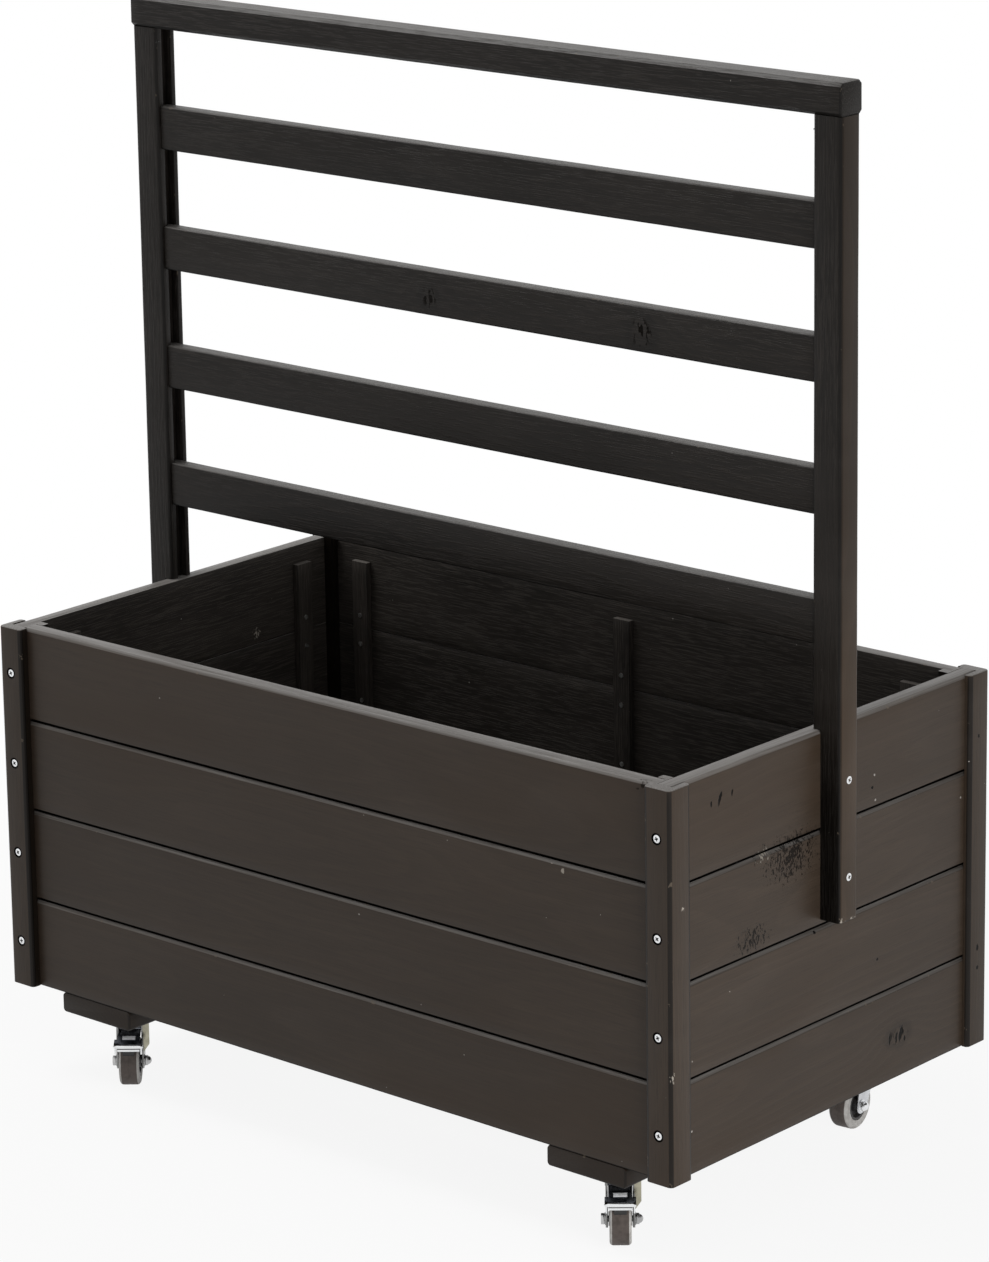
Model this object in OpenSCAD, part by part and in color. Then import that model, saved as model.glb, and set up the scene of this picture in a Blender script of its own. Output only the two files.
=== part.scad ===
// Planter box of tongue-and-groove boards between grooved corner posts, on four small
// casters, with a trellis of four slats between two uprights. Millimetres, +Z up, front
// towards -Y. The origin is on the floor under the middle of the box.

/* [Planter box] */
// Length over the corner posts
box_l = 880; // [700:10:1200]
// Depth over the corner posts
box_d = 496; // [420:4:700]
// Height that one course of boards covers
course_h = 96; // [80:1:130]
// Thickness of the wall boards
board_t = 17; // [14:0.5:22]
// Distance of the long walls behind the faces of the posts
side_inset = 10; // [6:0.5:12]
// Distance of the end walls behind the end faces of the posts
end_inset = 7; // [5:0.5:11]
// Thickness of the tongue on a board's top edge
tongue_t = 5; // [4:0.5:7]
// Height of the tongue
tongue_h = 6; // [4:0.5:9]
// Depth left free over a tongue in its groove
tongue_gap = 0.5; // [0.2:0.1:1]
// Height of the bevel along a board's outer top edge
top_bevel_h = 4.5; // [2:0.5:7]
// Depth of that bevel
top_bevel_d = 3; // [1:0.5:3.5]
// Height of the open joint in front of a tongue
joint_open = 1.6; // [0.4:0.2:2.4]
// Width of the bevels along a board's other edges
edge_bevel = 0.8; // [0.4:0.2:1.6]

/* [Corner posts] */
// Width of a post's inner corner past the end boards
corner_x = 12; // [8:0.5:18]
// Depth of a post's inner corner past the side boards
corner_y = 9; // [6:0.5:18]
// Wall between a post's two grooves
post_web = 3; // [2:0.5:6]
// Thickness of a post in front of the end boards' ends
end_cap = 12; // [9:0.5:16]
// Distance by which the outer lips stop short of the inner corner
lip_short = 5; // [1:0.5:7]
// Rounding of a post's outer edges
post_round = 4; // [2:0.5:5]

/* [Trellis] */
// Width of an upright, along the box
upright_w = 33; // [28:0.5:45]
// Depth of an upright
upright_d = 29; // [27:0.5:45]
// Width of the shoulder by which an upright sits on the rim
seat_w = 10; // [6:0.5:12]
// Distance of an upright's foot above the seam under the second course from the top
foot_up = 4; // [2:1:30]
// Rounding of an upright's edges
upright_round = 3.5; // [1:0.5:4]
// Free height between neighbouring slats
slat_gap = 81; // [40:1:120]
// Height of a slat
slat_h = 45; // [30:1:70]
// Thickness of a slat
slat_t = 17; // [14:0.5:19]
// Distance of the slats behind the uprights' front faces
slat_back = 3.5; // [1:0.5:5]
// Rounding of a slat's edges
slat_round = 2; // [0.5:0.5:4]
// Thickness of an upright in front of its groove
groove_lip = 9; // [7:0.5:11]
// Depth of the groove in an upright
groove_deep = 9; // [6:0.5:14]
// Slack behind and at the end of a slat's tongue
groove_gap = 1; // [0.3:0.1:1.5]
// Height of the top rail
rail_h = 32; // [25:1:50]
// Distance by which the rail stands over the uprights, front and back
rail_over = 2; // [0:0.5:6]
// Rounding of the rail's edges
rail_round = 4; // [2:0.5:6]

/* [Bearers and floor] */
// Width of a bearer
bearer_w = 97; // [80:1:130]
// Thickness of a bearer
bearer_t = 21; // [17:1:30]
// Distance of a bearer's middle from the box's end
bearer_in = 112; // [90:1:200]
// Rounding of a bearer's edges
bearer_round = 4; // [1:0.5:6]
// Thickness of a floor board
floor_t = 17; // [14:0.5:24]
// Width of a floor board
floor_w = 96; // [80:1:110]
// Least drain gap beside a floor board
drain_gap = 6; // [3:0.5:14]
// Free length at a floor board's ends
floor_gap = 2; // [0.5:0.5:5]

/* [Cleats] */
// Width of a cleat
cleat_w = 22; // [16:1:36]
// Thickness of a cleat
cleat_t = 7; // [5:0.5:20]
// Distance of a cleat's top below the rim
cleat_drop = 20; // [5:1:40]
// Distance of a cleat's foot above the floor boards
cleat_foot = 1; // [0.5:0.5:10]
// Distance of an end wall's cleats from the faces of the posts
end_cleat_in = 75; // [60:1:120]
// Distance of a long wall's outer cleats from the ends of the box
side_cleat_in = 73; // [60:1:150]
// Distance of a cleat's nails above and below each seam
nail_off = 16; // [10:1:30]

/* [Casters] */
// Height of a caster
caster_h = 75; // [72:1:85]
// Height of a caster above its wheel
wheel_room = 25; // [24:1:30]
// Width of a tyre
tyre_w = 21; // [16:0.5:24]
// Rounding of a tyre's shoulders
tyre_round = 3.5; // [1:0.5:5]
// Thickness of a tyre over its core
tyre_t = 9; // [7:0.5:12]
// Free width between a tyre and a fork's leg
wheel_gap = 1.3; // [0.6:0.1:3]
// Thickness of a fork's steel
fork_t = 2.2; // [1.5:0.1:3]
// Offset of the axle from the kingpin
trail = 18; // [14:0.5:24]
// Radius of a fork's end round the axle
fork_end_r = 8.5; // [7:0.5:12]
// Diameter of the disc at a fork's top
crown_d = 38; // [34:1:42]
// Diameter of an axle bolt
axle_d = 6; // [5:0.5:8]
// Diameter of a kingpin
kingpin_d = 8; // [6:0.5:10]
// Width of a caster's square top plate
plate_w = 60; // [56:1:80]
// Thickness of the top plate
plate_t = 2.2; // [1.5:0.1:4]
// Hole-to-hole distance in the top plate
plate_pitch = 44; // [42:1:46]
// Distance of a caster's kingpin from the faces of the posts
caster_in = 60; // [50:1:110]
// Heading of the two front casters
front_heading = 40; // [-180:1:180]
// Heading of the back left caster
back_left_heading = 15; // [-180:1:180]
// Heading of the back right caster
back_right_heading = 6; // [-180:1:180]

/* [Brake pedals] */
// Distance of a pedal's pin from the kingpin
pedal_pin_y = 12; // [11:0.5:14]
// Height of a pedal's pin above the wheel's top
pedal_pin_up = 8; // [7:0.5:9]
// Diameter of a pedal's pin
pedal_pin_d = 4; // [3:0.5:5]
// Distance of a treadle's edge in front of the wheel's furthest point
lip_back = 1; // [-2:0.5:3]
// Height of a treadle's edge above the wheel's top
lip_up = 0; // [-2:0.5:2]
// Width of a pedal's treadle
treadle_w = 30; // [26:0.5:40]
// Height of a treadle's turned-down lip
lip_h = 6.5; // [4:0.5:8]
// Thickness of a pedal's steel
pedal_t = 1.8; // [1.2:0.1:2.5]
// Width of a pedal's brake shoe
shoe_w = 13; // [8:0.5:18]
// Length of the shoe below the lip
shoe_drop = 7; // [4:0.5:8]
// Clearance between a set brake's shoe and the tread
shoe_gap = 0.4; // [0.3:0.1:1]

/* [Fasteners] */
// Diameter of a wood screw
screw_d = 4.5; // [3.5:0.5:5]
// Diameter of a wood screw's head
screw_head = 7.6; // [7:0.2:8.6]
// Length of the screws in the posts
post_screw_l = 45; // [30:1:60]
// Wood left past the tip of a screw or nail
tip_cover = 4; // [2:0.5:6]
// Diameter of a cleat's nails
nail_d = 2.4; // [1.8:0.2:3.2]
// Diameter of a nail's head
nail_head = 5; // [4:0.5:7]
// Diameter of a slat's pins
slat_pin_d = 2.5; // [1.6:0.1:4]
// Distance of the rail's toe screws below the rail
toe_drop = 18; // [14:1:24]
// Tilt of the rail's toe screws from upright
toe_tilt = 30; // [20:1:35]
// Length of the rail's toe screws
toe_l = 40; // [34:1:44]

/* [Hidden] */
$fn = 48;

// Running clearance of a shaft in its hole, on the radius
run = 0.05;
// Gap between faces that turn past each other
swivel_gap = 0.3;
// How far a cutting shape runs past the face that it opens
past = 1;

// The box, from the floor up
courses = 4;
base_z = caster_h + bearer_t;
rim_z = base_z + courses * course_h;
wall_x = box_l / 2 - end_inset;
wall_y = box_d / 2 - side_inset;
inner_x = wall_x - board_t;
inner_y = wall_y - board_t;
post_w = end_inset + board_t + corner_x;
post_d = side_inset + board_t + corner_y;
side_board_l = box_l - 2 * (end_inset + board_t + post_web);
end_board_l = box_d - 2 * end_cap;

// The trellis
slats = 4;
upright_out = wall_x + upright_w - seat_w;
upright_in = upright_out - upright_w;
upright_drop = 2 * course_h - foot_up;
rail_z = rim_z + (slats + 1) * slat_gap + slats * slat_h;
rail_d = upright_d + 2 * rail_over;
slat_y = slat_back - upright_d / 2;
groove_y = groove_lip - upright_d / 2;
tongue_back = slat_y + slat_t;
groove_w = tongue_back - groove_y + groove_gap;
slat_tongue = groove_deep - groove_gap;

// The floor, its boards shared out between the inner corners of the posts
floor_room = box_d - 2 * post_d;
floor_n = floor((floor_room - drain_gap) / (floor_w + drain_gap));
floor_pitch = (floor_room + floor_w) / (floor_n + 1);
floor_top = base_z + floor_t;
bearer_x = box_l / 2 - bearer_in;

// The casters, from the floor up
wheel_d = caster_h - wheel_room;
core_d = wheel_d - 2 * tyre_t;
axle_z = wheel_d / 2;
plate_z = caster_h - plate_t;
race_h = 2.2;
race_in = 12;
race_out = 17;
crown_top = plate_z - race_h - swivel_gap;
crown_z = crown_top - fork_t;
kingpin_head_h = 4;
kingpin_head_d = 2 * kingpin_d;
kingpin_cone = 1.8;
leg_in = tyre_w / 2 + wheel_gap;
leg_out = leg_in + fork_t;
leg_front = 14;
leg_back = 17;
caster_y = box_d / 2 - caster_in;
pin_z = wheel_d + pedal_pin_up;
lip_y = lip_back - trail - wheel_d / 2;
lip_z = wheel_d + lip_up;

// Fasteners
countersink = (screw_head - screw_d) / 2;
toe_sink = 3;
bolt_head_h = 4.5;
nut_h = 4;
nut_dome_h = 3.5;
hex_d = 11;
upright_screw_l = upright_out - inner_x - tip_cover;
bearer_screw_l = floor_t + bearer_t - tip_cover + 1;
caster_screw_l = plate_t + bearer_t - tip_cover;
nail_l = cleat_t + board_t - tip_cover;
cleat_l = rim_z - cleat_drop - floor_top - cleat_foot;
slat_pin_l = upright_d / 2 - (groove_y + tongue_back) / 2;

WOOD = "#3b3530";
WOOD_LIGHT = "#4a443e";
ZINC = "#c9ccce";
GREY = "#8f8f8d";
BLACK = "#1d1d1e";

// ---------------------------------------------------------------- shared shapes

// What rounding takes from a corner at the origin of the first quadrant
module corner_waste(r) {
    difference() {
        translate([-past, -past])
            square(r + past);
        translate([r, r])
            circle(r);
    }
}

// A rectangle from the origin with its four corners rounded
module soft_rect(w, h, r) {
    difference() {
        square([w, h]);
        corner_waste(r);
        translate([w, 0]) mirror([1, 0])
            corner_waste(r);
        translate([0, h]) mirror([0, 1])
            corner_waste(r);
        translate([w, h]) rotate(180)
            corner_waste(r);
    }
}

// Lays a drawing's x along Y and its y along Z, and draws it out along X from both sides of 0
module along_x(l) {
    rotate([90, 0, 90])
        translate([0, 0, -l / 2])
            linear_extrude(l)
                children();
}

// A countersunk wood screw, its head's top at the origin and its tip towards -Z
module wood_screw(l) {
    translate([0, 0, -countersink])
        cylinder(h = countersink, d1 = screw_d, d2 = screw_head);
    translate([0, 0, -l])
        cylinder(h = l - countersink, d = screw_d);
}

// The hole for that screw
module wood_screw_hole(l) {
    translate([0, 0, -countersink])
        cylinder(h = countersink, d1 = screw_d + 2 * run, d2 = screw_head + 2 * run);
    translate([0, 0, -run])
        cylinder(h = past, d = screw_head + 2 * run);
    translate([0, 0, -l - past])
        cylinder(h = l + past, d = screw_d + 2 * run);
}

// ---------------------------------------------------------------- places of fasteners

// Four screws in each post, through its face into the ends of the end boards
module at_post_screws() {
    for (sx = [-1, 1], sy = [-1, 1], course = [1 : courses])
        translate([sx * (wall_x - board_t / 2), sy * box_d / 2, base_z + (course - 0.5) * course_h])
            rotate([-sy * 90, 0, 0])
                children();
}

// Two screws through each upright's foot, at the middle of the two top courses
module at_upright_screws() {
    for (sx = [-1, 1], course = [courses - 1, courses])
        translate([sx * upright_out, 0, base_z + (course - 0.5) * course_h])
            rotate([0, sx * 90, 0])
                children();
}

// One tilted screw from each upright's inner face up into the rail
module at_rail_screws() {
    for (sx = [-1, 1])
        translate([sx * upright_in, (groove_y - upright_d / 2) / 2, rail_z - toe_drop])
            rotate([0, sx * toe_tilt, 0])
                rotate([180, 0, 0])
                    children();
}

// Two screws down through each floor board into each bearer, and one up through each end
// of a bearer into the bottom boards
module at_bearer_screws() {
    edge_in = 10;
    for (sx = [-1, 1]) {
        for (i = [1 : floor_n], side = [-1, 1])
            translate([
                sx * bearer_x + side * (bearer_w / 2 - edge_in),
                (i - (floor_n + 1) / 2) * floor_pitch,
                floor_top
            ])
                children();
        for (sy = [-1, 1])
            translate([sx * bearer_x, sy * (wall_y - board_t / 2), caster_h])
                rotate([180, 0, 0])
                    children();
    }
}

// The kingpins
module at_casters() {
    for (sx = [-1, 1], sy = [-1, 1])
        translate([sx * bearer_x, sy * caster_y, 0])
            children();
}

// Four screws in each caster's top plate
module at_caster_screws() {
    at_casters()
        for (px = [-1, 1], py = [-1, 1])
            translate([px * plate_pitch / 2, py * plate_pitch / 2, plate_z])
                rotate([180, 0, 0])
                    children();
}

// Cleats on the end walls, drawn with x along the wall and y out of it into the box
module at_end_cleats() {
    for (sx = [-1, 1], sy = [-1, 1])
        translate([sx * inner_x, sy * (box_d / 2 - end_cleat_in), 0])
            rotate(sx * 90)
                children();
}

// Cleats on the long walls, drawn in the same way
module at_side_cleats() {
    for (sy = [-1, 1], x = [-1, 0, 1])
        translate([x * (box_l / 2 - side_cleat_in), sy * inner_y, 0])
            rotate(sy > 0 ? 180 : 0)
                children();
}

// A cleat's nails, above and below each seam, driven towards its wall
module at_nails() {
    for (seam = [1 : courses - 1], side = [-1, 1])
        translate([0, cleat_t, base_z + seam * course_h + side * nail_off])
            rotate([-90, 0, 0])
                children();
}

// A pin from each upright's back face into the tongue of each slat
module at_slat_pins() {
    for (sx = [-1, 1], i = [1 : slats])
        translate([
            sx * (upright_in + slat_tongue / 2),
            upright_d / 2,
            slat_bottom(i) + slat_h / 2
        ])
            rotate([-90, 0, 0])
                children();
}

function slat_bottom(i) = rim_z + i * slat_gap + (i - 1) * slat_h;

// ---------------------------------------------------------------- box

// Section of a wall board, outer face at x = 0 and bottom edge at y = 0
module board_section(course) {
    top = course == courses;
    shoulder = (board_t - tongue_t) / 2;
    difference() {
        union() {
            square([board_t, course_h]);
            if (!top)
                translate([shoulder, course_h - past])
                    square([tongue_t, tongue_h + past]);
        }
        if (course > 1)
            translate([shoulder, -past])
                square([tongue_t, tongue_h + tongue_gap + past]);
        outer_top_waste(top ? 0 : joint_open, shoulder);
        bevel_waste();
        translate([board_t, 0]) mirror([1, 0])
            bevel_waste();
        translate([board_t, course_h]) rotate(180)
            bevel_waste();
    }
}

// What a board's outer top edge loses: its bevel and, under a seam, the open joint
module outer_top_waste(open, shoulder) {
    edge = course_h - open;
    polygon([
        [-past, course_h + past], [-past, edge - top_bevel_h], [0, edge - top_bevel_h],
        [top_bevel_d, edge], [shoulder, edge], [shoulder, course_h + past]
    ]);
}

// What the small bevel of an edge takes from a corner at the origin
module bevel_waste() {
    polygon([[-past, -past], [edge_bevel + past, -past], [-past, edge_bevel + past]]);
}

// A wall board about x = 0, outer face at y = 0, inner face towards +Y
module wall_board(l, course) {
    translate([0, 0, base_z + (course - 1) * course_h])
        along_x(l)
            board_section(course);
}

module nail_holes() {
    at_nails()
        translate([0, 0, -nail_l - past])
            cylinder(h = nail_l + past, d = nail_d + 2 * run);
}

module side_board(sy, course) {
    color(WOOD)
        difference() {
            rotate(sy > 0 ? 180 : 0)
                translate([0, -wall_y, 0])
                    wall_board(side_board_l, course);
            at_side_cleats()
                nail_holes();
            if (course == 1)
                at_bearer_screws()
                    wood_screw_hole(bearer_screw_l);
        }
}

module end_board(sx, course) {
    color(WOOD_LIGHT)
        difference() {
            rotate(sx * 90)
                translate([0, -wall_x, 0])
                    wall_board(end_board_l, course);
            at_end_cleats()
                nail_holes();
            at_post_screws()
                wood_screw_hole(post_screw_l);
            at_upright_screws()
                wood_screw_hole(upright_screw_l);
        }
}

// Section of a post, its outer corner at the origin, x from the end face and y from the
// front or back face
module post_section() {
    end_in = end_inset + board_t;
    side_in = side_inset + board_t;
    lip_x = post_w - lip_short;
    lip_y_end = post_d - lip_short;
    difference() {
        polygon([
            [0, 0], [lip_x, 0], [lip_x, side_inset], [end_in + post_web, side_inset],
            [end_in + post_web, side_in], [post_w, side_in], [post_w, post_d], [end_in, post_d],
            [end_in, end_cap], [end_inset, end_cap], [end_inset, lip_y_end], [0, lip_y_end]
        ]);
        corner_waste(post_round);
        translate([lip_x, 0]) mirror([1, 0])
            corner_waste(post_round);
        translate([0, lip_y_end]) mirror([0, 1])
            corner_waste(post_round);
    }
}

module post(sx, sy) {
    color(WOOD)
        difference() {
            translate([sx * box_l / 2, sy * box_d / 2, base_z])
                mirror([sx > 0 ? 1 : 0, 0, 0])
                    mirror([0, sy > 0 ? 1 : 0, 0])
                        linear_extrude(courses * course_h)
                            post_section();
            at_post_screws()
                wood_screw_hole(post_screw_l);
        }
}

module bearer(sx) {
    color(WOOD)
        difference() {
            translate([sx * bearer_x - bearer_w / 2, wall_y, caster_h])
                rotate([90, 0, 0])
                    linear_extrude(2 * wall_y)
                        soft_rect(bearer_w, bearer_t, bearer_round);
            at_bearer_screws()
                wood_screw_hole(bearer_screw_l);
            at_caster_screws()
                translate([0, 0, -caster_screw_l - past])
                    cylinder(h = caster_screw_l + past, d = screw_d + 2 * run);
        }
}

module floor_boards() {
    color(WOOD_LIGHT)
        difference() {
            for (i = [1 : floor_n])
                translate([
                    floor_gap - inner_x,
                    (i - (floor_n + 1) / 2) * floor_pitch - floor_w / 2,
                    base_z
                ])
                    cube([2 * (inner_x - floor_gap), floor_w, floor_t]);
            at_bearer_screws()
                wood_screw_hole(bearer_screw_l);
        }
}

module cleat() {
    difference() {
        translate([-cleat_w / 2, 0, floor_top + cleat_foot])
            cube([cleat_w, cleat_t, cleat_l]);
        nail_holes();
    }
}

module end_cleats() {
    color(WOOD)
        at_end_cleats()
            cleat();
}

module side_cleats() {
    color(WOOD)
        at_side_cleats()
            cleat();
}

// ---------------------------------------------------------------- trellis

module upright(sx) {
    color(WOOD)
        difference() {
            translate([sx > 0 ? upright_in : -upright_out, -upright_d / 2, rim_z - upright_drop])
                linear_extrude(rail_z - rim_z + upright_drop)
                    soft_rect(upright_w, upright_d, upright_round);
            mirror([sx > 0 ? 0 : 1, 0, 0]) {
                translate([upright_in - past, -upright_d / 2 - past, rim_z - upright_drop - past])
                    cube([seat_w + past, upright_d + 2 * past, upright_drop + past]);
                translate([upright_in - past, groove_y, rim_z - past])
                    cube([groove_deep + past, groove_w, rail_z - rim_z + 2 * past]);
            }
            at_upright_screws()
                wood_screw_hole(upright_screw_l);
            at_rail_screws()
                toe_screw_hole();
            at_slat_pins()
                slat_pin_hole();
        }
}

module top_rail() {
    color(WOOD)
        difference() {
            translate([0, -rail_d / 2, rail_z])
                along_x(2 * upright_out)
                    soft_rect(rail_d, rail_h, rail_round);
            at_rail_screws()
                toe_screw_hole();
        }
}

module slat(i) {
    color(WOOD)
        translate([0, 0, slat_bottom(i)])
            difference() {
                union() {
                    translate([0, slat_y, 0])
                        along_x(2 * upright_in)
                            soft_rect(slat_t, slat_h, slat_round);
                    translate([0, groove_y, 0])
                        along_x(2 * (upright_in + slat_tongue))
                            square([tongue_back - groove_y, slat_h]);
                }
                translate([0, 0, -slat_bottom(i)])
                    at_slat_pins()
                        slat_pin_hole();
            }
}

// ---------------------------------------------------------------- fasteners

module post_screws() {
    color(ZINC)
        at_post_screws()
            wood_screw(post_screw_l);
}

module upright_screws() {
    color(ZINC)
        at_upright_screws()
            wood_screw(upright_screw_l);
}

module bearer_screws() {
    color(ZINC)
        at_bearer_screws()
            wood_screw(bearer_screw_l);
}

// The toe screws' heads lie sunk in slanting pockets
module rail_screws() {
    color(ZINC)
        at_rail_screws()
            translate([0, 0, -toe_sink])
                wood_screw(toe_l - toe_sink);
}

module toe_screw_hole() {
    translate([0, 0, -toe_sink])
        wood_screw_hole(toe_l - toe_sink);
    translate([0, 0, -toe_sink])
        cylinder(h = toe_sink + screw_head, d = screw_head + 2 * run);
}

module caster_screws() {
    head_h = 2.4;
    color(ZINC)
        at_caster_screws() {
            cylinder(h = head_h, d = screw_head);
            translate([0, 0, -caster_screw_l])
                cylinder(h = caster_screw_l, d = screw_d);
        }
}

module nails() {
    head_h = 0.8;
    at_nails() {
        cylinder(h = head_h, d = nail_head);
        translate([0, 0, -nail_l])
            cylinder(h = nail_l, d = nail_d);
    }
}

module cleat_nails() {
    color(ZINC) {
        at_end_cleats()
            nails();
        at_side_cleats()
            nails();
    }
}

module slat_pins() {
    color(ZINC)
        at_slat_pins()
            translate([0, 0, -slat_pin_l])
                cylinder(h = slat_pin_l, d = slat_pin_d);
}

module slat_pin_hole() {
    translate([0, 0, -slat_pin_l - past])
        cylinder(h = slat_pin_l + 2 * past, d = slat_pin_d + 2 * run);
}

// ---------------------------------------------------------------- casters

// The kingpin of one caster at its place, its wheel trailing towards -Y turned by its heading
module at_caster(sx, sy) {
    heading = sy < 0 ? front_heading : sx < 0 ? back_left_heading : back_right_heading;
    translate([sx * bearer_x, sy * caster_y, 0])
        rotate(heading)
            children();
}

// Lays +Z along the axle, towards the nut
module at_axle() {
    translate([0, -trail, axle_z])
        rotate([0, 90, 0])
            children();
}

module caster_plates() {
    plate_round = 6;
    color(ZINC)
        difference() {
            at_casters() {
                translate([-plate_w / 2, -plate_w / 2, plate_z])
                    linear_extrude(plate_t)
                        soft_rect(plate_w, plate_w, plate_round);
                translate([0, 0, plate_z - race_h])
                    difference() {
                        cylinder(h = race_h + plate_t / 2, r = race_out);
                        translate([0, 0, -past])
                            cylinder(h = race_h + past, r = race_in);
                    }
            }
            at_casters() {
                translate([0, 0, plate_z - past])
                    cylinder(h = plate_t + 2 * past, d = kingpin_d + 2 * run);
                translate([0, 0, caster_h - kingpin_cone])
                    cylinder(h = kingpin_cone, d1 = kingpin_d + 2 * run,
                             d2 = kingpin_d + 2 * kingpin_cone + 2 * run);
            }
            at_caster_screws()
                translate([0, 0, -plate_t - past])
                    cylinder(h = plate_t + 2 * past, d = screw_d + 0.4);
        }
}

module kingpins() {
    color(ZINC)
        at_casters() {
            translate([0, 0, crown_z - swivel_gap - kingpin_head_h])
                cylinder(h = kingpin_head_h, d = kingpin_head_d);
            translate([0, 0, crown_z - swivel_gap - past])
                cylinder(h = caster_h - crown_z + swivel_gap + past - run, d = kingpin_d);
            translate([0, 0, caster_h - kingpin_cone - run])
                cylinder(h = kingpin_cone, d1 = kingpin_d,
                         d2 = kingpin_d + 2 * kingpin_cone);
        }
}

// Where the line from p touches the circle round c: side is 1 or -1
function touch(p, c, r, side) =
    let (d = p - c, a = atan2(d[1], d[0]) + side * acos(r / norm(d)))
    c + r * [cos(a), sin(a)];

// Side view of a fork's leg: x is along the caster's Y, y is up
module leg_outline() {
    axle = [-trail, axle_z];
    front = [leg_front, crown_top];
    back = [-leg_back, crown_top];
    polygon([front, back, touch(back, axle, fork_end_r, 1), axle,
             touch(front, axle, fork_end_r, -1)]);
    translate(axle)
        circle(fork_end_r);
}

// Flange that stands out from the nut's side of a braked fork and narrows towards the axle
module side_flange() {
    wide = 6;
    foot_z = axle_z + fork_end_r;
    translate([0, -leg_back - fork_t / 2, 0])
        rotate([90, 0, 0])
            linear_extrude(fork_t)
                polygon([
                    [leg_out - fork_t, foot_z], [leg_out, foot_z], [leg_out + wide, foot_z + 10],
                    [leg_out + wide, crown_top], [leg_out - fork_t, crown_top]
                ]);
}

module fork(sx, sy) {
    color(ZINC)
        at_caster(sx, sy)
            difference() {
                union() {
                    for (side = [-1, 1])
                        translate([side * (leg_in + leg_out) / 2, 0, 0])
                            along_x(fork_t)
                                leg_outline();
                    translate([0, 0, crown_z])
                        cylinder(h = fork_t, d = crown_d);
                    translate([-leg_out, -leg_back, crown_z])
                        cube([2 * leg_out, leg_front + leg_back, fork_t]);
                    if (sy < 0)
                        side_flange();
                }
                translate([0, 0, crown_z - past])
                    cylinder(h = fork_t + 2 * past, d = kingpin_d + 2 * run);
                at_axle()
                    cylinder(h = 3 * leg_out, d = axle_d + 2 * run, center = true);
                if (sy < 0)
                    at_pedal_pin()
                        cylinder(h = 3 * leg_out, d = pedal_pin_d + 2 * run, center = true);
            }
}

// Bolt with a hexagonal head, and its domed nut
module axle(sx, sy) {
    nut_in = leg_out + nut_h + nut_dome_h / 2;
    color(ZINC)
        at_caster(sx, sy)
            at_axle() {
                translate([0, 0, -leg_out - bolt_head_h])
                    cylinder(h = bolt_head_h, d = hex_d, $fn = 6);
                translate([0, 0, -leg_out - past])
                    cylinder(h = leg_out + past + nut_in - past / 2, d = axle_d);
                difference() {
                    union() {
                        translate([0, 0, leg_out])
                            cylinder(h = nut_h, d = hex_d, $fn = 6);
                        translate([0, 0, leg_out + nut_h - past])
                            cylinder(h = nut_dome_h + past, d1 = hex_d * 0.84, d2 = hex_d / 2);
                    }
                    translate([0, 0, leg_out - past])
                        cylinder(h = nut_in - leg_out + past, d = axle_d + 2 * run);
                }
            }
}

// Half section of the wheel's core: x is the radius, y runs along the axle
module core_section() {
    boss_r = axle_d / 2 + 4;
    web = 8;
    rim_in = core_d / 2 - 3.5;
    boss_half = leg_in - swivel_gap;
    rim_half = tyre_w / 2 - past;
    bore = axle_d / 2 + run;
    polygon([
        [bore, -boss_half], [boss_r, -boss_half], [boss_r, -web / 2], [rim_in, -web / 2],
        [rim_in, -rim_half], [core_d / 2, -rim_half], [core_d / 2, rim_half],
        [rim_in, rim_half], [rim_in, web / 2], [boss_r, web / 2], [boss_r, boss_half],
        [bore, boss_half]
    ]);
}

module core(sx, sy) {
    color(BLACK)
        at_caster(sx, sy)
            at_axle()
                rotate_extrude()
                    core_section();
}

module tyre(sx, sy) {
    bore = core_d / 2 + run;
    color(GREY)
        at_caster(sx, sy)
            at_axle()
                rotate_extrude()
                    difference() {
                        translate([bore, -tyre_w / 2])
                            square([wheel_d / 2 - bore, tyre_w]);
                        for (side = [0, 1])
                            mirror([0, side])
                                translate([wheel_d / 2, -tyre_w / 2])
                                    mirror([1, 0])
                                        corner_waste(tyre_round);
                    }
}

module at_pedal_pin() {
    translate([0, -pedal_pin_y, pin_z])
        rotate([0, 90, 0])
            children();
}

// Side view of the plate that slopes from the pin down to the lip
module pedal_outline(back_y) {
    slope = (pin_z + pedal_pin_d / 2 - lip_z) / (-pedal_pin_y - lip_y);
    back_z = lip_z + (back_y - lip_y) * slope;
    polygon([
        [lip_y, lip_z], [lip_y, lip_z - pedal_t], [back_y, back_z - pedal_t], [back_y, back_z]
    ]);
}

module pedal(sx, sy) {
    treadle_l = 10;
    inner_w = 2 * (leg_in - wheel_gap / 2);
    sleeve_d = pedal_pin_d + 4;
    color(ZINC)
        at_caster(sx, sy)
            difference() {
                union() {
                    along_x(inner_w)
                        pedal_outline(-pedal_pin_y);
                    along_x(treadle_w)
                        pedal_outline(lip_y + treadle_l);
                    translate([-treadle_w / 2, lip_y, lip_z - lip_h])
                        cube([treadle_w, pedal_t, lip_h]);
                    translate([-shoe_w / 2, lip_y, lip_z - lip_h - shoe_drop])
                        cube([shoe_w, pedal_t, lip_h + shoe_drop]);
                    at_pedal_pin()
                        cylinder(h = inner_w, d = sleeve_d, center = true);
                    at_pedal_pin()
                        cylinder(h = 2 * leg_out + past, d = pedal_pin_d, center = true);
                }
                at_axle()
                    cylinder(h = 3 * leg_out, r = wheel_d / 2 + shoe_gap, center = true);
            }
}

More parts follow.
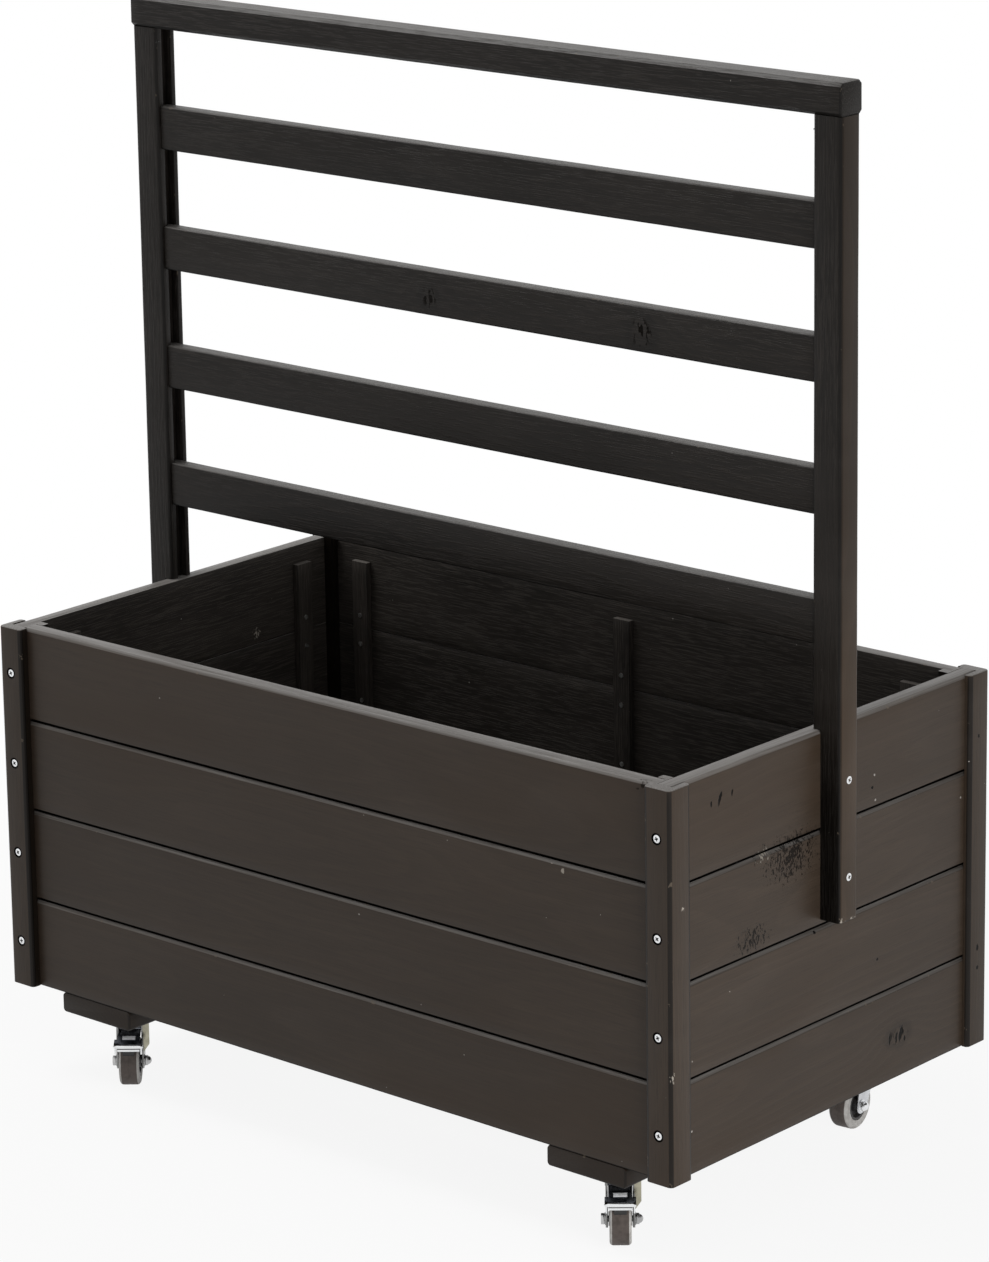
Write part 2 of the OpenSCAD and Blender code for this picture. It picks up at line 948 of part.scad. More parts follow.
side_board(-1, 1);  // front_board_1
side_board(-1, 2);  // front_board_2
side_board(-1, 3);  // front_board_3
side_board(-1, 4);  // front_board_4
side_board(1, 1);  // back_board_1
side_board(1, 2);  // back_board_2
side_board(1, 3);  // back_board_3
side_board(1, 4);  // back_board_4
end_board(-1, 1);  // left_board_1
end_board(-1, 2);  // left_board_2
end_board(-1, 3);  // left_board_3
end_board(-1, 4);  // left_board_4
end_board(1, 1);  // right_board_1
end_board(1, 2);  // right_board_2
end_board(1, 3);  // right_board_3
end_board(1, 4);  // right_board_4
post(-1, -1);  // front_left_post
post(1, -1);  // front_right_post
post(-1, 1);  // back_left_post
post(1, 1);  // back_right_post
bearer(-1);  // left_bearer
bearer(1);  // right_bearer
floor_boards();
end_cleats();
side_cleats();
upright(-1);  // left_upright
upright(1);  // right_upright
top_rail();
slat(1);  // slat_1
slat(2);  // slat_2
slat(3);  // slat_3
slat(4);  // slat_4
post_screws();
upright_screws();
rail_screws();
bearer_screws();
caster_screws();
cleat_nails();
slat_pins();
caster_plates();
kingpins();
fork(-1, -1);  // front_left_fork
axle(-1, -1);  // front_left_axle
core(-1, -1);  // front_left_core
tyre(-1, -1);  // front_left_tyre
pedal(-1, -1);  // front_left_pedal
fork(1, -1);  // front_right_fork
axle(1, -1);  // front_right_axle
core(1, -1);  // front_right_core
tyre(1, -1);  // front_right_tyre
pedal(1, -1);  // front_right_pedal
fork(-1, 1);  // back_left_fork
axle(-1, 1);  // back_left_axle
core(-1, 1);  // back_left_core
tyre(-1, 1);  // back_left_tyre
fork(1, 1);  // back_right_fork
axle(1, 1);  // back_right_axle
core(1, 1);  // back_right_core
tyre(1, 1);  // back_right_tyre
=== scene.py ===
# %% [markdown]
# # A rolling planter with a trellis
# The real object is a trough of dark-stained softwood boards between four corner posts, with
# four slats between two uprights at its back and four small swivel casters underneath. The
# construction model comes in as a frame that stays where it is. Each piece that is made here
# stands in for one of its nodes at the same place, with eased edges, grain and hardware that
# the construction model doesn't need.

# %% Load the frame
import itertools
import math
import random
from functools import partial

import bmesh
import bpy
from mathutils import Matrix, Vector


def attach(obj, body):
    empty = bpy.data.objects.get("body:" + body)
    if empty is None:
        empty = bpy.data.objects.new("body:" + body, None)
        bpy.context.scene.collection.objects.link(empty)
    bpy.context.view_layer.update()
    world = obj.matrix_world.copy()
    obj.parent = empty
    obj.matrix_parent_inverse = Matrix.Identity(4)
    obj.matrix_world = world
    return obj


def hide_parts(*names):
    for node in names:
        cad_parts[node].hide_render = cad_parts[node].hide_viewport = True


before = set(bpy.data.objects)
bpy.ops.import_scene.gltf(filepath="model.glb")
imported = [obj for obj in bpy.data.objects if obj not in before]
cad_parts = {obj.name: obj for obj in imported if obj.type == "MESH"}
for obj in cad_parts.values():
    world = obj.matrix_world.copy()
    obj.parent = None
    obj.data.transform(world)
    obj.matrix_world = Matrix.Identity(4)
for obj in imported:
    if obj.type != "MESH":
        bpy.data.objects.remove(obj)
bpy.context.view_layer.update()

MM = 0.001

# %% [markdown]
# The planter's main levels and faces are used again and again, so they get names. The box
# lies evenly about the origin, so one number serves for both its sides. All are in mm.

# %% Levels and faces
BASE, COURSE, THICK = 96, 96, 17
COURSES = (1, 2, 3, 4)
RIM = BASE + len(COURSES) * COURSE
MIDDLES = [BASE + (course - 0.5) * COURSE for course in COURSES]
WALL_X, WALL_Y = 433, 238
POST_X, POST_Y = 440, 248
UPRIGHT_X = 456
RAIL = 1065
CASTER_X, CASTER_Y = 328, 188
CORNERS = {"front_left": (-1, -1), "back_left": (-1, 1), "front_right": (1, -1),
           "back_right": (1, 1)}
print("rim at", RIM, "and rail at", RAIL)

# %% [markdown]
# ## Tools for shaping
# Operators act on all that is selected, so a piece is taken up alone before each step. In
# edit mode, faces and edges are chosen by their place and direction, in millimetres, which
# says what is meant better than a list of numbers would.

# %% Take up a piece, and choose parts of it
def take_up(piece, *more):
    if bpy.context.object and bpy.context.object.mode != "OBJECT":
        bpy.ops.object.mode_set(mode="OBJECT")
    bpy.ops.object.select_all(action="DESELECT")
    for each in (piece, *more):
        if each:
            each.select_set(True)
    bpy.context.view_layer.objects.active = piece


def pick(piece, kind, wanted=lambda *facts: True):
    """Selects, in edit mode, the faces (place, normal) or edges (middle, span) that are wanted."""
    take_up(piece)
    bpy.ops.object.mode_set(mode="EDIT")
    bpy.ops.mesh.select_mode(type=kind)
    bpy.ops.mesh.select_all(action="DESELECT")
    mesh = bmesh.from_edit_mesh(piece.data)
    count = 0
    for item in mesh.faces if kind == "FACE" else mesh.edges:
        if kind == "FACE":
            facts = item.calc_center_median() / MM, item.normal
        else:
            a, b = (corner.co / MM for corner in item.verts)
            facts = (a + b) / 2, b - a
        if wanted(*facts):
            item.select_set(True)
            count += 1
    mesh.select_flush_mode()
    bmesh.update_edit_mesh(piece.data)
    return count


def long_edge(x, y):
    """Says which edges run along Z at (x, y)."""
    return lambda at, span: abs(span.z) > 50 and abs(at.x - x) < 0.1 and abs(at.y - y) < 0.1


def done():
    bpy.ops.object.mode_set(mode="OBJECT")


# %% The operators that most pieces need, in mm
def apply_place(name):
    """Puts the active piece's place into its mesh."""
    bpy.ops.object.transform_apply(location=True, rotation=True, scale=True)
    bpy.context.object.name = name
    return bpy.context.object


def shift(x, y, z):
    """Moves what is picked."""
    bpy.ops.transform.translate(value=(x * MM, y * MM, z * MM))


def draw_out(x, y, z):
    """Extrudes what is picked."""
    way = {"value": (x * MM, y * MM, z * MM)}
    bpy.ops.mesh.extrude_region_move(TRANSFORM_OT_translate=way)


def cut(axis, level):
    """Cuts the whole mesh by a plane across axis 0 or 1."""
    bpy.ops.mesh.select_all(action="SELECT")
    across = [float(number == axis) for number in range(3)]
    bpy.ops.mesh.bisect(plane_co=[level * MM * part for part in across], plane_no=across)


def face_outwards():
    bpy.ops.mesh.select_all(action="SELECT")
    bpy.ops.mesh.normals_make_consistent(inside=False)


def modify(piece, kind, **settings):
    """Gives a piece one modifier, and applies it."""
    take_up(piece)
    modifier = piece.modifiers.new("change", kind)
    for name, value in settings.items():
        setattr(modifier, name, value)
    bpy.ops.object.modifier_apply(modifier=modifier.name)


def shade_smooth(degrees):
    bpy.ops.object.shade_smooth_by_angle(angle=math.radians(degrees))


# %% Start from a block, a disc or a drawn section
def block(name, low, high):
    """A cube primitive between two corners in mm, or a plane where both have the same height."""
    take_up(None)
    add = bpy.ops.mesh.primitive_cube_add if high[2] > low[2] else bpy.ops.mesh.primitive_plane_add
    add(size=1, location=[(a + b) / 2 * MM for a, b in zip(low, high)])
    bpy.context.object.scale = [(b - a) * MM or 1 for a, b in zip(low, high)]
    return apply_place(name)


TURNS = {"X": (0, math.pi / 2, 0), "Y": (math.pi / 2, 0, 0), "Z": (0, 0, 0)}


def disc(name, radius, low, high, sides=48, centre=(0, 0), axis="Z"):
    """A cylinder from low to high along an axis, round a centre in the other two, in mm."""
    take_up(None)
    place = list(centre)
    place.insert("XYZ".index(axis), (low + high) / 2)
    bpy.ops.mesh.primitive_cylinder_add(
        vertices=sides, radius=radius * MM, depth=(high - low) * MM, location=Vector(place) * MM,
        rotation=TURNS[axis])
    return apply_place(name)


def milled(name, xs, ys, solid, low, high):
    """A bar from z = low to high: a plane is cut at xs and ys, and cells that aren't solid go."""
    piece = block(name, (xs[0], ys[0], low), (xs[-1], ys[-1], low))
    bpy.ops.object.mode_set(mode="EDIT")
    for axis, levels in enumerate((xs, ys)):
        for level in levels[1:-1]:
            cut(axis, level)
    if pick(piece, "FACE", lambda at, normal: not solid(at.x, at.y)):
        bpy.ops.mesh.delete(type="FACE")
    bpy.ops.mesh.select_all(action="SELECT")
    draw_out(0, 0, high - low)
    bpy.ops.mesh.select_all(action="SELECT")
    bpy.ops.mesh.dissolve_limited(angle_limit=math.radians(1))
    face_outwards()
    done()
    return piece


# %% Ease edges, cut a grid, place and copy
def ease(piece, wanted, width, steps=1):
    """Bevels the wanted edges by width in mm."""
    pick(piece, "EDGE", wanted)
    bpy.ops.mesh.bevel(offset=width * MM, segments=steps, profile=0.5, affect="EDGES")
    done()


def grid(piece, axis, pitch, least=15):
    """Cuts the edges that run along an axis (0, 1 or 2) into steps of about pitch mm."""
    lengths = []

    def runs(at, span):
        along = abs(span[axis])
        if along < least or along < 0.98 * span.length:
            return False
        lengths.append(along)
        return True

    if pick(piece, "EDGE", runs):
        cuts = max(1, min(100, round(max(lengths) / pitch) - 1))
        bpy.ops.mesh.subdivide(number_cuts=cuts, smoothness=0)
    done()


def turned(angle):
    return Matrix.Rotation(math.radians(angle), 4, "Z")


def moved(x, y, z):
    return Matrix.Translation(Vector((x, y, z)) * MM)


def settle(piece, place):
    """Puts a finished mesh at its place, and leaves the object at the origin."""
    take_up(piece)
    piece.matrix_world = place
    return apply_place(piece.name)


def copy_of(piece, name, place):
    """Another one with its own mesh, moved by place."""
    other = piece.copy()
    other.data = piece.data.copy()
    other.name = name
    bpy.context.collection.objects.link(other)
    return settle(other, place)


def put_together(name, pieces):
    take_up(*pieces)
    bpy.ops.object.join()
    whole = bpy.context.object
    whole.name = name
    return whole


def throw_away(*pieces):
    for piece in pieces:
        bpy.data.objects.remove(piece, do_unlink=True)


# %% [markdown]
# A face can carry the number of one of the piece's finishes, and numbers of its own that a
# finish reads, such as how deep it lies in a hole. Both are given by the face's place and
# normal. At last a piece says which node it stands for, and on which body it rides.

# %% Mark the faces, and say what a piece stands for
def mark(piece, name, how_much):
    """Writes a face attribute, which how_much gives by a face's middle in mm and its normal."""
    marks = piece.data.attributes.new(name, "FLOAT", "FACE")
    for skin in piece.data.polygons:
        marks.data[skin.index].value = float(how_much(skin.center / MM, skin.normal))
    return sum(face.value > 0 for face in marks.data)


def paint(piece, which):
    """Gives each face the number of its finish, by its middle in mm and its normal."""
    for skin in piece.data.polygons:
        skin.material_index = int(which(skin.center / MM, skin.normal))


def stands_for(piece, finishes, slot, *nodes, body="planter"):
    """Gives a piece its finishes, and says which nodes of the frame it stands for."""
    numbers = [skin.material_index for skin in piece.data.polygons]
    piece.data.materials.clear()
    for finish in finishes:
        piece.data.materials.append(finish)
    if any(numbers):
        piece.data.polygons.foreach_set("material_index", numbers)
    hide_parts(*nodes)
    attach(piece, body)


def wooden(piece, node, *finishes):
    piece.name = node + "_wood"
    stands_for(piece, finishes, "stained_wood", node)


# %% [markdown]
# ## Node helpers
# The finishes are built from a few kinds of node. These short helpers add one node each and
# wire it, so that a finish below reads as a list of steps. A node goes into the tree that its
# inputs come from.

# %% Add and wire nodes
def put(tree, kind, inputs=(), **settings):
    node = tree.nodes.new(kind)
    for name, value in settings.items():
        setattr(node, name, value)
    for socket, value in inputs:
        target = node.inputs[socket]
        if isinstance(value, bpy.types.NodeSocket):
            tree.links.new(value, target)
        else:
            target.default_value = value
    return node


def tree_of(values):
    return next(value.id_data for value in values if isinstance(value, bpy.types.NodeSocket))


def calc(operation, *values, clamp=False):
    tree = tree_of(values)
    return put(tree, "ShaderNodeMath", enumerate(values), operation=operation,
               use_clamp=clamp).outputs[0]


times, plus, minus, over, times_plus = (
    partial(calc, kind) for kind in ("MULTIPLY", "ADD", "SUBTRACT", "DIVIDE", "MULTIPLY_ADD"))


def distance(one, other):
    return calc("SQRT", plus(times(one, one), times(other, other)))


def spread(value, low, high, to_low=0.0, to_high=1.0):
    """Carries low..high over to to_low..to_high along a smooth curve."""
    inputs = enumerate((value, low, high, to_low, to_high))
    return put(value.id_data, "ShaderNodeMapRange", inputs,
               interpolation_type="SMOOTHSTEP").outputs[0]


def blend(factor, one, other):
    inputs = [(0, factor), (6, one), (7, other)]
    return put(factor.id_data, "ShaderNodeMix", inputs, data_type="RGBA").outputs[2]


def tint(colour, mask, share, other):
    """Where the mask is 1, a share of the other colour comes over a colour."""
    return blend(times(mask, share), colour, other)


def darker(colour, share):
    return [part * share for part in colour[:3]] + [1]


def vectors(operation, *values):
    """A length and a dot product come out as a number, the rest as a vector."""
    node = put(tree_of(values), "ShaderNodeVectorMath", enumerate(values), operation=operation)
    return node.outputs["Value" if operation in ("LENGTH", "DOT_PRODUCT") else "Vector"]


stretch = partial(vectors, "MULTIPLY")


def part_of(vector, number):
    return put(vector.id_data, "ShaderNodeSeparateXYZ", [(0, vector)]).outputs[number]


def noise(place, scale, detail=2.0, roughness=0.5):
    """The scale is one number, or three for the three directions."""
    if isinstance(scale, tuple):
        place, scale = stretch(place, scale), 1.0
    inputs = [("Vector", place), ("Scale", scale), ("Detail", detail), ("Roughness", roughness)]
    return put(place.id_data, "ShaderNodeTexNoise", inputs).outputs["Fac"]


def attribute(tree, name, output="Fac"):
    return put(tree, "ShaderNodeAttribute", attribute_name=name).outputs[output]


# %% Make and use groups and finishes
def new_group(name, inputs, outputs):
    """A group that reads a place, and other inputs that are given with their usual values."""
    group = bpy.data.node_groups.new(name, "ShaderNodeTree")
    for label, value in {"Place": (0.0, 0.0, 0.0), **inputs}.items():
        kind = "NodeSocketFloat" if isinstance(value, float) else "NodeSocketVector"
        socket = group.interface.new_socket(label, in_out="INPUT", socket_type=kind)
        socket.default_value = value
    for label in outputs:
        group.interface.new_socket(label, in_out="OUTPUT", socket_type="NodeSocketFloat")
    enter = group.nodes.new("NodeGroupInput")
    leave = group.nodes.new("NodeGroupOutput")
    return group, enter.outputs, leave.inputs


def send(sockets, values):
    """Wires each value to the socket of its name."""
    for name, value in values.items():
        value.id_data.links.new(value, sockets[name])


def use_group(group, **inputs):
    tree = tree_of(inputs.values())
    return put(tree, "ShaderNodeGroup", inputs.items(), node_tree=group).outputs


def new_finish(name, **constants):
    material = bpy.data.materials.new(name)
    material.use_nodes = True
    tree = material.node_tree
    tree.nodes.clear()
    shader = tree.nodes.new("ShaderNodeBsdfPrincipled")
    output = tree.nodes.new("ShaderNodeOutputMaterial")
    tree.links.new(shader.outputs[0], output.inputs["Surface"])
    for socket, value in constants.items():
        shader.inputs[socket.replace("_", " ")].default_value = value
    place = put(tree, "ShaderNodeTexCoord").outputs["Object"]
    return material, tree, shader.inputs, place


def surface(shader, colour, roughness, height, relief):
    """Gives a shader its colour, its roughness and a bump that is relief mm high."""
    bump = put(colour.id_data, "ShaderNodeBump",
               [("Height", height), ("Strength", 1.0), ("Distance", relief * MM)])
    send(shader, {"Base Color": colour, "Roughness": roughness, "Normal": bump.outputs[0]})


# %% [markdown]
# ## Wood grain
# A board is a slice of a log, so its grain is one pattern in space: rings round a pith that
# runs along the board, and fibres along it. Each wooden piece carries a point attribute,
# grain, that says where each of its points lay in the log. The shader reads it, so faces,
# ends and edges agree, and no two boards look the same.

# %% The pine grain group
pine_grain, enter, leave = new_group("pine grain", {"Ring width": 0.005, "Swell": 0.0},
                                     ["Late wood", "Fibre", "Cloud", "Saw lines"])
place = enter["Place"]
side = plus(part_of(place, 1), times_plus(noise(place, (1.6, 11.0, 11.0)), 0.03, -0.015))
deep = plus(part_of(place, 2), times_plus(noise(place, (2.3, 7.0, 7.0), 1.0), 0.05, -0.025))
ring = calc("FRACT", over(distance(side, plus(deep, enter["Swell"])), enter["Ring width"]))
send(leave, {
    "Late wood": times(spread(ring, 0.35, 0.9), spread(ring, 0.9, 1.0, 1.0, 0.0)),
    "Fibre": noise(place, (11.0, 620.0, 620.0), 3.0, 0.62),
    "Cloud": noise(place, (3.0, 9.0, 9.0), 3.0),
    "Saw lines": spread(noise(place, (34.0, 900.0, 900.0), 2.0, 0.6), 0.5, 0.68)})
print("pine grain", len(pine_grain.nodes), "nodes")

# %% [markdown]
# Knots, slits, torn grain and chips sit at places that can be pointed at, so each of these
# groups takes a centre in the object's own coordinates and a size. A knot also pushes the
# rings aside, as the branch did in the tree. Chips are torn grain with the raw wood's colour.

# %% Knot, slit and torn grain groups
def near_centre(enter):
    """Distance from the centre in sizes, with a ragged border."""
    offset = vectors("SUBTRACT", enter["Place"], enter["Centre"])
    length = vectors("LENGTH", stretch(offset, enter["Shape"]))
    ragged = times_plus(noise(enter["Place"], 160.0, 3.0), 0.7, -0.35)
    return plus(over(length, enter["Size"]), ragged)


SPOT_INPUTS = {"Centre": (0.0, 0.0, 0.0), "Shape": (1.0, 1.0, 1.0), "Size": 0.01}
knot, enter, leave = new_group("knot", SPOT_INPUTS, ["Heart", "Rim", "Swell"])
away = near_centre(enter)
cracks = noise(enter["Place"], (260.0, 420.0, 110.0))
send(leave, {
    "Heart": times(spread(away, 0.5, 0.9, 1.0, 0.0), spread(cracks, 0.5, 0.56)),
    "Rim": times(spread(away, 0.5, 0.85), spread(away, 0.95, 1.5, 1.0, 0.0)),
    "Swell": spread(away, 0.0, 4.0, 0.010, 0.0)})

SLIT_INPUTS = {"Centre": (0.0, 0.0, 0.0), "Along": (0.0, 0.0, 1.0), "Length": 0.006, "Width": 0.001}
slit, enter, leave = new_group("slit", SLIT_INPUTS, ["Open"])
offset = vectors("SUBTRACT", enter["Place"], enter["Centre"])
run = vectors("DOT_PRODUCT", offset, enter["Along"])
whole = vectors("LENGTH", offset)
beside = calc("SQRT", calc("MAXIMUM", minus(times(whole, whole), times(run, run)), 0.0))
away = distance(over(run, enter["Length"]), over(beside, enter["Width"]))
away = plus(away, times_plus(noise(enter["Place"], 420.0), 1.0, -0.5))
send(leave, {"Open": spread(away, 0.7, 1.05, 1.0, 0.0)})

torn_grain, enter, leave = new_group("torn grain", SPOT_INPUTS, ["Torn"])
away = near_centre(enter)
fibres = noise(enter["Place"], (200.0, 520.0, 260.0), 3.0)
tears = spread(plus(fibres, spread(away, 0.0, 1.3, 0.2, 0.0)), 0.62, 0.68)
send(leave, {"Torn": times(tears, spread(away, 1.0, 1.3, 1.0, 0.0))})

# %% [markdown]
# Fine dust lies on the dark stain in rare specks and a faint haze, and along the edges the
# stain has rubbed off in bits. Both go over all the wood, so each is a group too.

# %% Dust and edge wear groups
dust, enter, leave = new_group("dust", {"Amount": 0.5}, ["Specks", "Haze"])
cells = put(dust, "ShaderNodeTexVoronoi", [("Vector", enter["Place"]), ("Scale", 55.0)])
rare = spread(noise(enter["Place"], 17.0), 0.46, 0.68)
haze = spread(noise(enter["Place"], (6.0, 6.0, 14.0), 4.0), 0.5, 0.75)
reach = times(rare, times(enter["Amount"], 0.12))
send(leave, {"Specks": calc("LESS_THAN", cells.outputs["Distance"], reach),
             "Haze": times(haze, enter["Amount"])})

edge_wear, enter, leave = new_group("edge wear", {"Edge": 0.0, "Amount": 0.3}, ["Worn"])
worn = calc("GREATER_THAN", noise(enter["Place"], 75.0, 4.0, 0.65),
            minus(0.78, times(enter["Amount"], 0.4)))
send(leave, {"Worn": times(worn, enter["Edge"])})
print("groups", [group.name for group in bpy.data.node_groups])

# %% [markdown]
# ## Stained wood
# The stain is a thin dark brown coat. It lies darker in the early wood, lets the late wood
# through a little, has rubbed off along some edges, and shows a soft sheen. Faces that look
# up are paler, in streaks: partly dust, partly a painted sheen for the bright surroundings
# that they mirror at a low angle. Eased edges that don't look up get painted shade. Planed
# faces and sawn faces share one recipe with other numbers. The attributes edge and deep say
# where edges and holes are, and deep also carries painted shade in joints, countersinks and
# corners and on the uprights' feet. A hole is painted black as the shade inside it, and its
# surface counts as metal, so that it mirrors nothing white.

# %% The recipe
# The black of painted shade in holes, joints and cracks.
HOLE_BLACK = (0.004, 0.0032, 0.0025, 1)
RAW_WOOD = (0.3, 0.27, 0.23, 1)
RUBBED = (0.12, 0.095, 0.07, 1)
HAZE = (0.4, 0.37, 0.34, 1)
SPECK = (0.4, 0.38, 0.35, 1)


def stained(name, dark, light, sheen, relief, dusty=0.4, top_dust_and_sheen=None, knots=(), torn=(),
            slits=(), chips=(), mirror=0.2, rings=1.0, sawn=0.15, edge_shade=0.6, paler_downwards=1.0):
    """Knots, torn grain and chips are (centre in mm, shape, size in mm); slits are (centre in
    mm, lean in degrees, half length, half width) on faces that look along X. The last argument
    says how much paler the colour gets downwards."""
    finish, tree, shader, place = new_finish(name, Specular_IOR_Level=mirror)
    # deep says how dark a face is painted as shade in holes, joints and corners.
    edge, hole = attribute(tree, "edge"), attribute(tree, "deep")
    upward = part_of(put(tree, "ShaderNodeNewGeometry").outputs["Normal"], 2)

    def spots(group, wanted):
        return [use_group(group, Place=place, Centre=Vector(centre) * MM, Shape=shape,
                          Size=size * MM) for centre, shape, size in wanted]

    knots_found, swell = spots(knot, knots), 0.0
    for found in knots_found:
        swell = plus(swell, found["Swell"])
    grain = use_group(pine_grain, Place=attribute(tree, "grain", "Vector"), Swell=swell)
    tone = times_plus(grain["Late wood"], 0.16 * rings, times(grain["Fibre"], 0.45))
    tone = plus(tone, times(grain["Cloud"], 0.5))
    tone = minus(tone, times(grain["Saw lines"], sawn))
    colour = blend(spread(tone, 0.2, 0.85), dark, light)
    warmth = spread(noise(place, (2.5, 2.5, 5.0), 3.0), 0.45, 0.65)
    colour = tint(colour, warmth, 0.5, (dark[0] * 1.1, dark[1] * 0.95, dark[2] * 0.75, 1))
    # The colour gets paler towards the bottom, by the factor given.
    if paler_downwards != 1.0:
        low_down = spread(part_of(place, 2), 0.42, 0.74, 1.0, 0.0)
        colour = blend(low_down, colour, stretch(colour, (paler_downwards,) * 3))
    height = times_plus(grain["Late wood"], relief * rings, times(grain["Fibre"], 0.8))
    height = minus(height, times(grain["Saw lines"], sawn * 2.0))
    # Faces that look up are paler in streaks: partly dust, partly painted sheen for the bright
    # surroundings mirrored at a low angle.
    if top_dust_and_sheen:
        streaks = times_plus(grain["Fibre"], 2.4, -0.4)
        top = times(spread(upward, 0.3, 0.95), streaks, clamp=True)
        colour = blend(top, colour, top_dust_and_sheen)
    # Eased edges that don't look up are darkened: painted shade on the bevels that face down, and a
    # painted dark reflection on the rounded corners.
    painted_edge_shade = times(edge, spread(upward, 0.05, 0.4, 1.0, 0.0))
    colour = tint(colour, painted_edge_shade, edge_shade, darker(dark, 0.25))
    for found in knots_found:
        hole = calc("MAXIMUM", hole, found["Heart"])
        colour = tint(colour, found["Rim"], 0.35, darker(dark, 0.3))
        height = minus(height, found["Heart"])
    for found in spots(torn_grain, torn):
        hole = calc("MAXIMUM", hole, times(found["Torn"], 0.8))
        height = minus(height, times(found["Torn"], 1.5))
    for centre, lean, length, width in slits:
        lean = math.radians(lean)
        opened = use_group(slit, Place=place, Centre=Vector(centre) * MM, Length=length * MM,
                           Along=(0.0, math.sin(lean), math.cos(lean)), Width=width * MM)["Open"]
        hole = calc("MAXIMUM", hole, opened)
        height = minus(height, times(opened, 2.0))
    # All of this is painted black as shade: the deep attribute's joints, countersinks and corners,
    # and the cracks of knots, slits and torn grain.
    colour = blend(hole, colour, HOLE_BLACK)
    send(shader, {"Metallic": hole})
    for found in spots(torn_grain, chips):
        colour = tint(colour, found["Torn"], 0.85, RAW_WOOD)
    rubbed = use_group(edge_wear, Place=place, Edge=edge)["Worn"]
    dirt = use_group(dust, Place=place, Amount=dusty)
    colour = tint(colour, rubbed, 0.5, RUBBED)
    colour = tint(colour, dirt["Haze"], 0.04, HAZE)
    colour = tint(colour, dirt["Specks"], 0.6, SPECK)
    gloss = times_plus(grain["Fibre"], 0.16, sheen - 0.08)
    surface(shader, colour, times_plus(dirt["Haze"], 0.15, gloss), height, 0.1 * relief)
    return finish


# %% [markdown]
# The finishes differ in colour, sheen, relief and marks. The marks lie where the real
# boards have theirs: most of them are on the right end, and a few on the posts, the front,
# the third slat and the inside of the left end.

# %% The stained finishes
STAIN = (0.028, 0.0198, 0.014, 1), (0.045, 0.032, 0.0226, 1)
TRELLIS = (0.0055, 0.0046, 0.0039, 1), (0.018, 0.0149, 0.0126, 1)
# The pale colour of faces that look up: partly dust, partly painted sheen.
TOP_DUST_AND_SHEEN = (0.19, 0.18, 0.17, 1)
DARKER_TOP_DUST_AND_SHEEN = (0.11, 0.104, 0.098, 1)
ROUND, ALONG_Y = (1, 1, 1), (1, 0.6, 1)
planed_stain = stained(
    "planed stained pine", *STAIN, 0.40, 0.6, top_dust_and_sheen=TOP_DUST_AND_SHEEN, rings=0.5,
    torn=[((400, -237, 477), ROUND, 8)],
    chips=[((290, -238, 379), ROUND, 3), ((303, -238, 373), ROUND, 3)])
# The posts' eased edges get the full painted edge shade.
post_stain = stained(
    "stained post", *STAIN, 0.40, 0.6, top_dust_and_sheen=TOP_DUST_AND_SHEEN, rings=0.5, sawn=0.35, edge_shade=1.0,
    chips=[((440, -245, 204), (1, 1, 0.5), 2.8), ((440, -230, 363), (1, 1, 0.8), 2.2)],
    slits=[((440, 231, 416), 0, 2, 1.6), ((440, 232, 197), 0, 4, 2), ((440, 232, 176), 0, 2.5, 2)])
# A darker stain than the walls' for the bearers: painted shade, as they stand under the box.
bearer_stain = stained(
    "stained bearer", (0.015, 0.0108, 0.0082, 1), (0.026, 0.019, 0.014, 1), 0.5, 0.8, rings=0.6)
trellis_look = dict(sheen=0.42, relief=1.2, dusty=0.25, top_dust_and_sheen=DARKER_TOP_DUST_AND_SHEEN, mirror=0.15,
                    rings=0.6, sawn=-0.7)
trellis_stain = stained("stained trellis", *TRELLIS, **trellis_look)
knotty_slat = stained(
    "knotty stained slat", *TRELLIS, **trellis_look,
    knots=[((216, -11, 832), (0.7, 1, 0.6), 12), ((-55, -11, 831), (0.7, 1, 0.7), 9)])
# A lighter copy of the trellis stain for the uprights' faces that look outwards: painted light, as
# the same wood is lighter there than on its other faces.
outer_stain = stained(
    "stained upright outside", (0.018, 0.0128, 0.0089, 1), (0.029, 0.0205, 0.0145, 1), 0.42, 0.6,
    top_dust_and_sheen=TOP_DUST_AND_SHEEN, mirror=0.15, paler_downwards=1.85,
    chips=[((456, -13, 292), ROUND, 7), ((456, 6, 290), ROUND, 5)])
sawn_stain = stained(
    "sawn stained pine", (0.006, 0.005, 0.0042, 1), (0.038, 0.032, 0.027, 1), 0.62, 1.6,
    top_dust_and_sheen=(0.11, 0.10, 0.09, 1), rings=0.2, sawn=-0.6, chips=[((-416, 103, 396), ROUND, 6)])
knotty_stain = stained(
    "knotty stained pine", *STAIN, 0.42, 0.8, dusty=0.6, top_dust_and_sheen=TOP_DUST_AND_SHEEN, rings=0.6,
    knots=[((433, 111, 139), ALONG_Y, 11)],
    torn=[((433, -60, 368), ALONG_Y, 25), ((433, -118, 300), ALONG_Y, 15),
          ((432, -104, 381), ALONG_Y, 9)],
    chips=[((432, -101, 380), ALONG_Y, 7)],
    slits=[((433, -179, 449), 0, 3.5, 1.5), ((433, -166, 452), 22, 8, 2.2),
           ((433, -148, 453), 8, 4, 1.3), ((433, 97, 139), 5, 7, 1.6), ((433, 115, 140), 14, 8, 3),
           ((433, 121, 133), 0, 3, 2), ((433, -23, 282), 0, 2, 2.4), ((433, 76, 227), 0, 1.6, 2),
           ((433, 67, 403), 0, 1.6, 2)])
print("finishes", [m.name for m in bpy.data.materials])

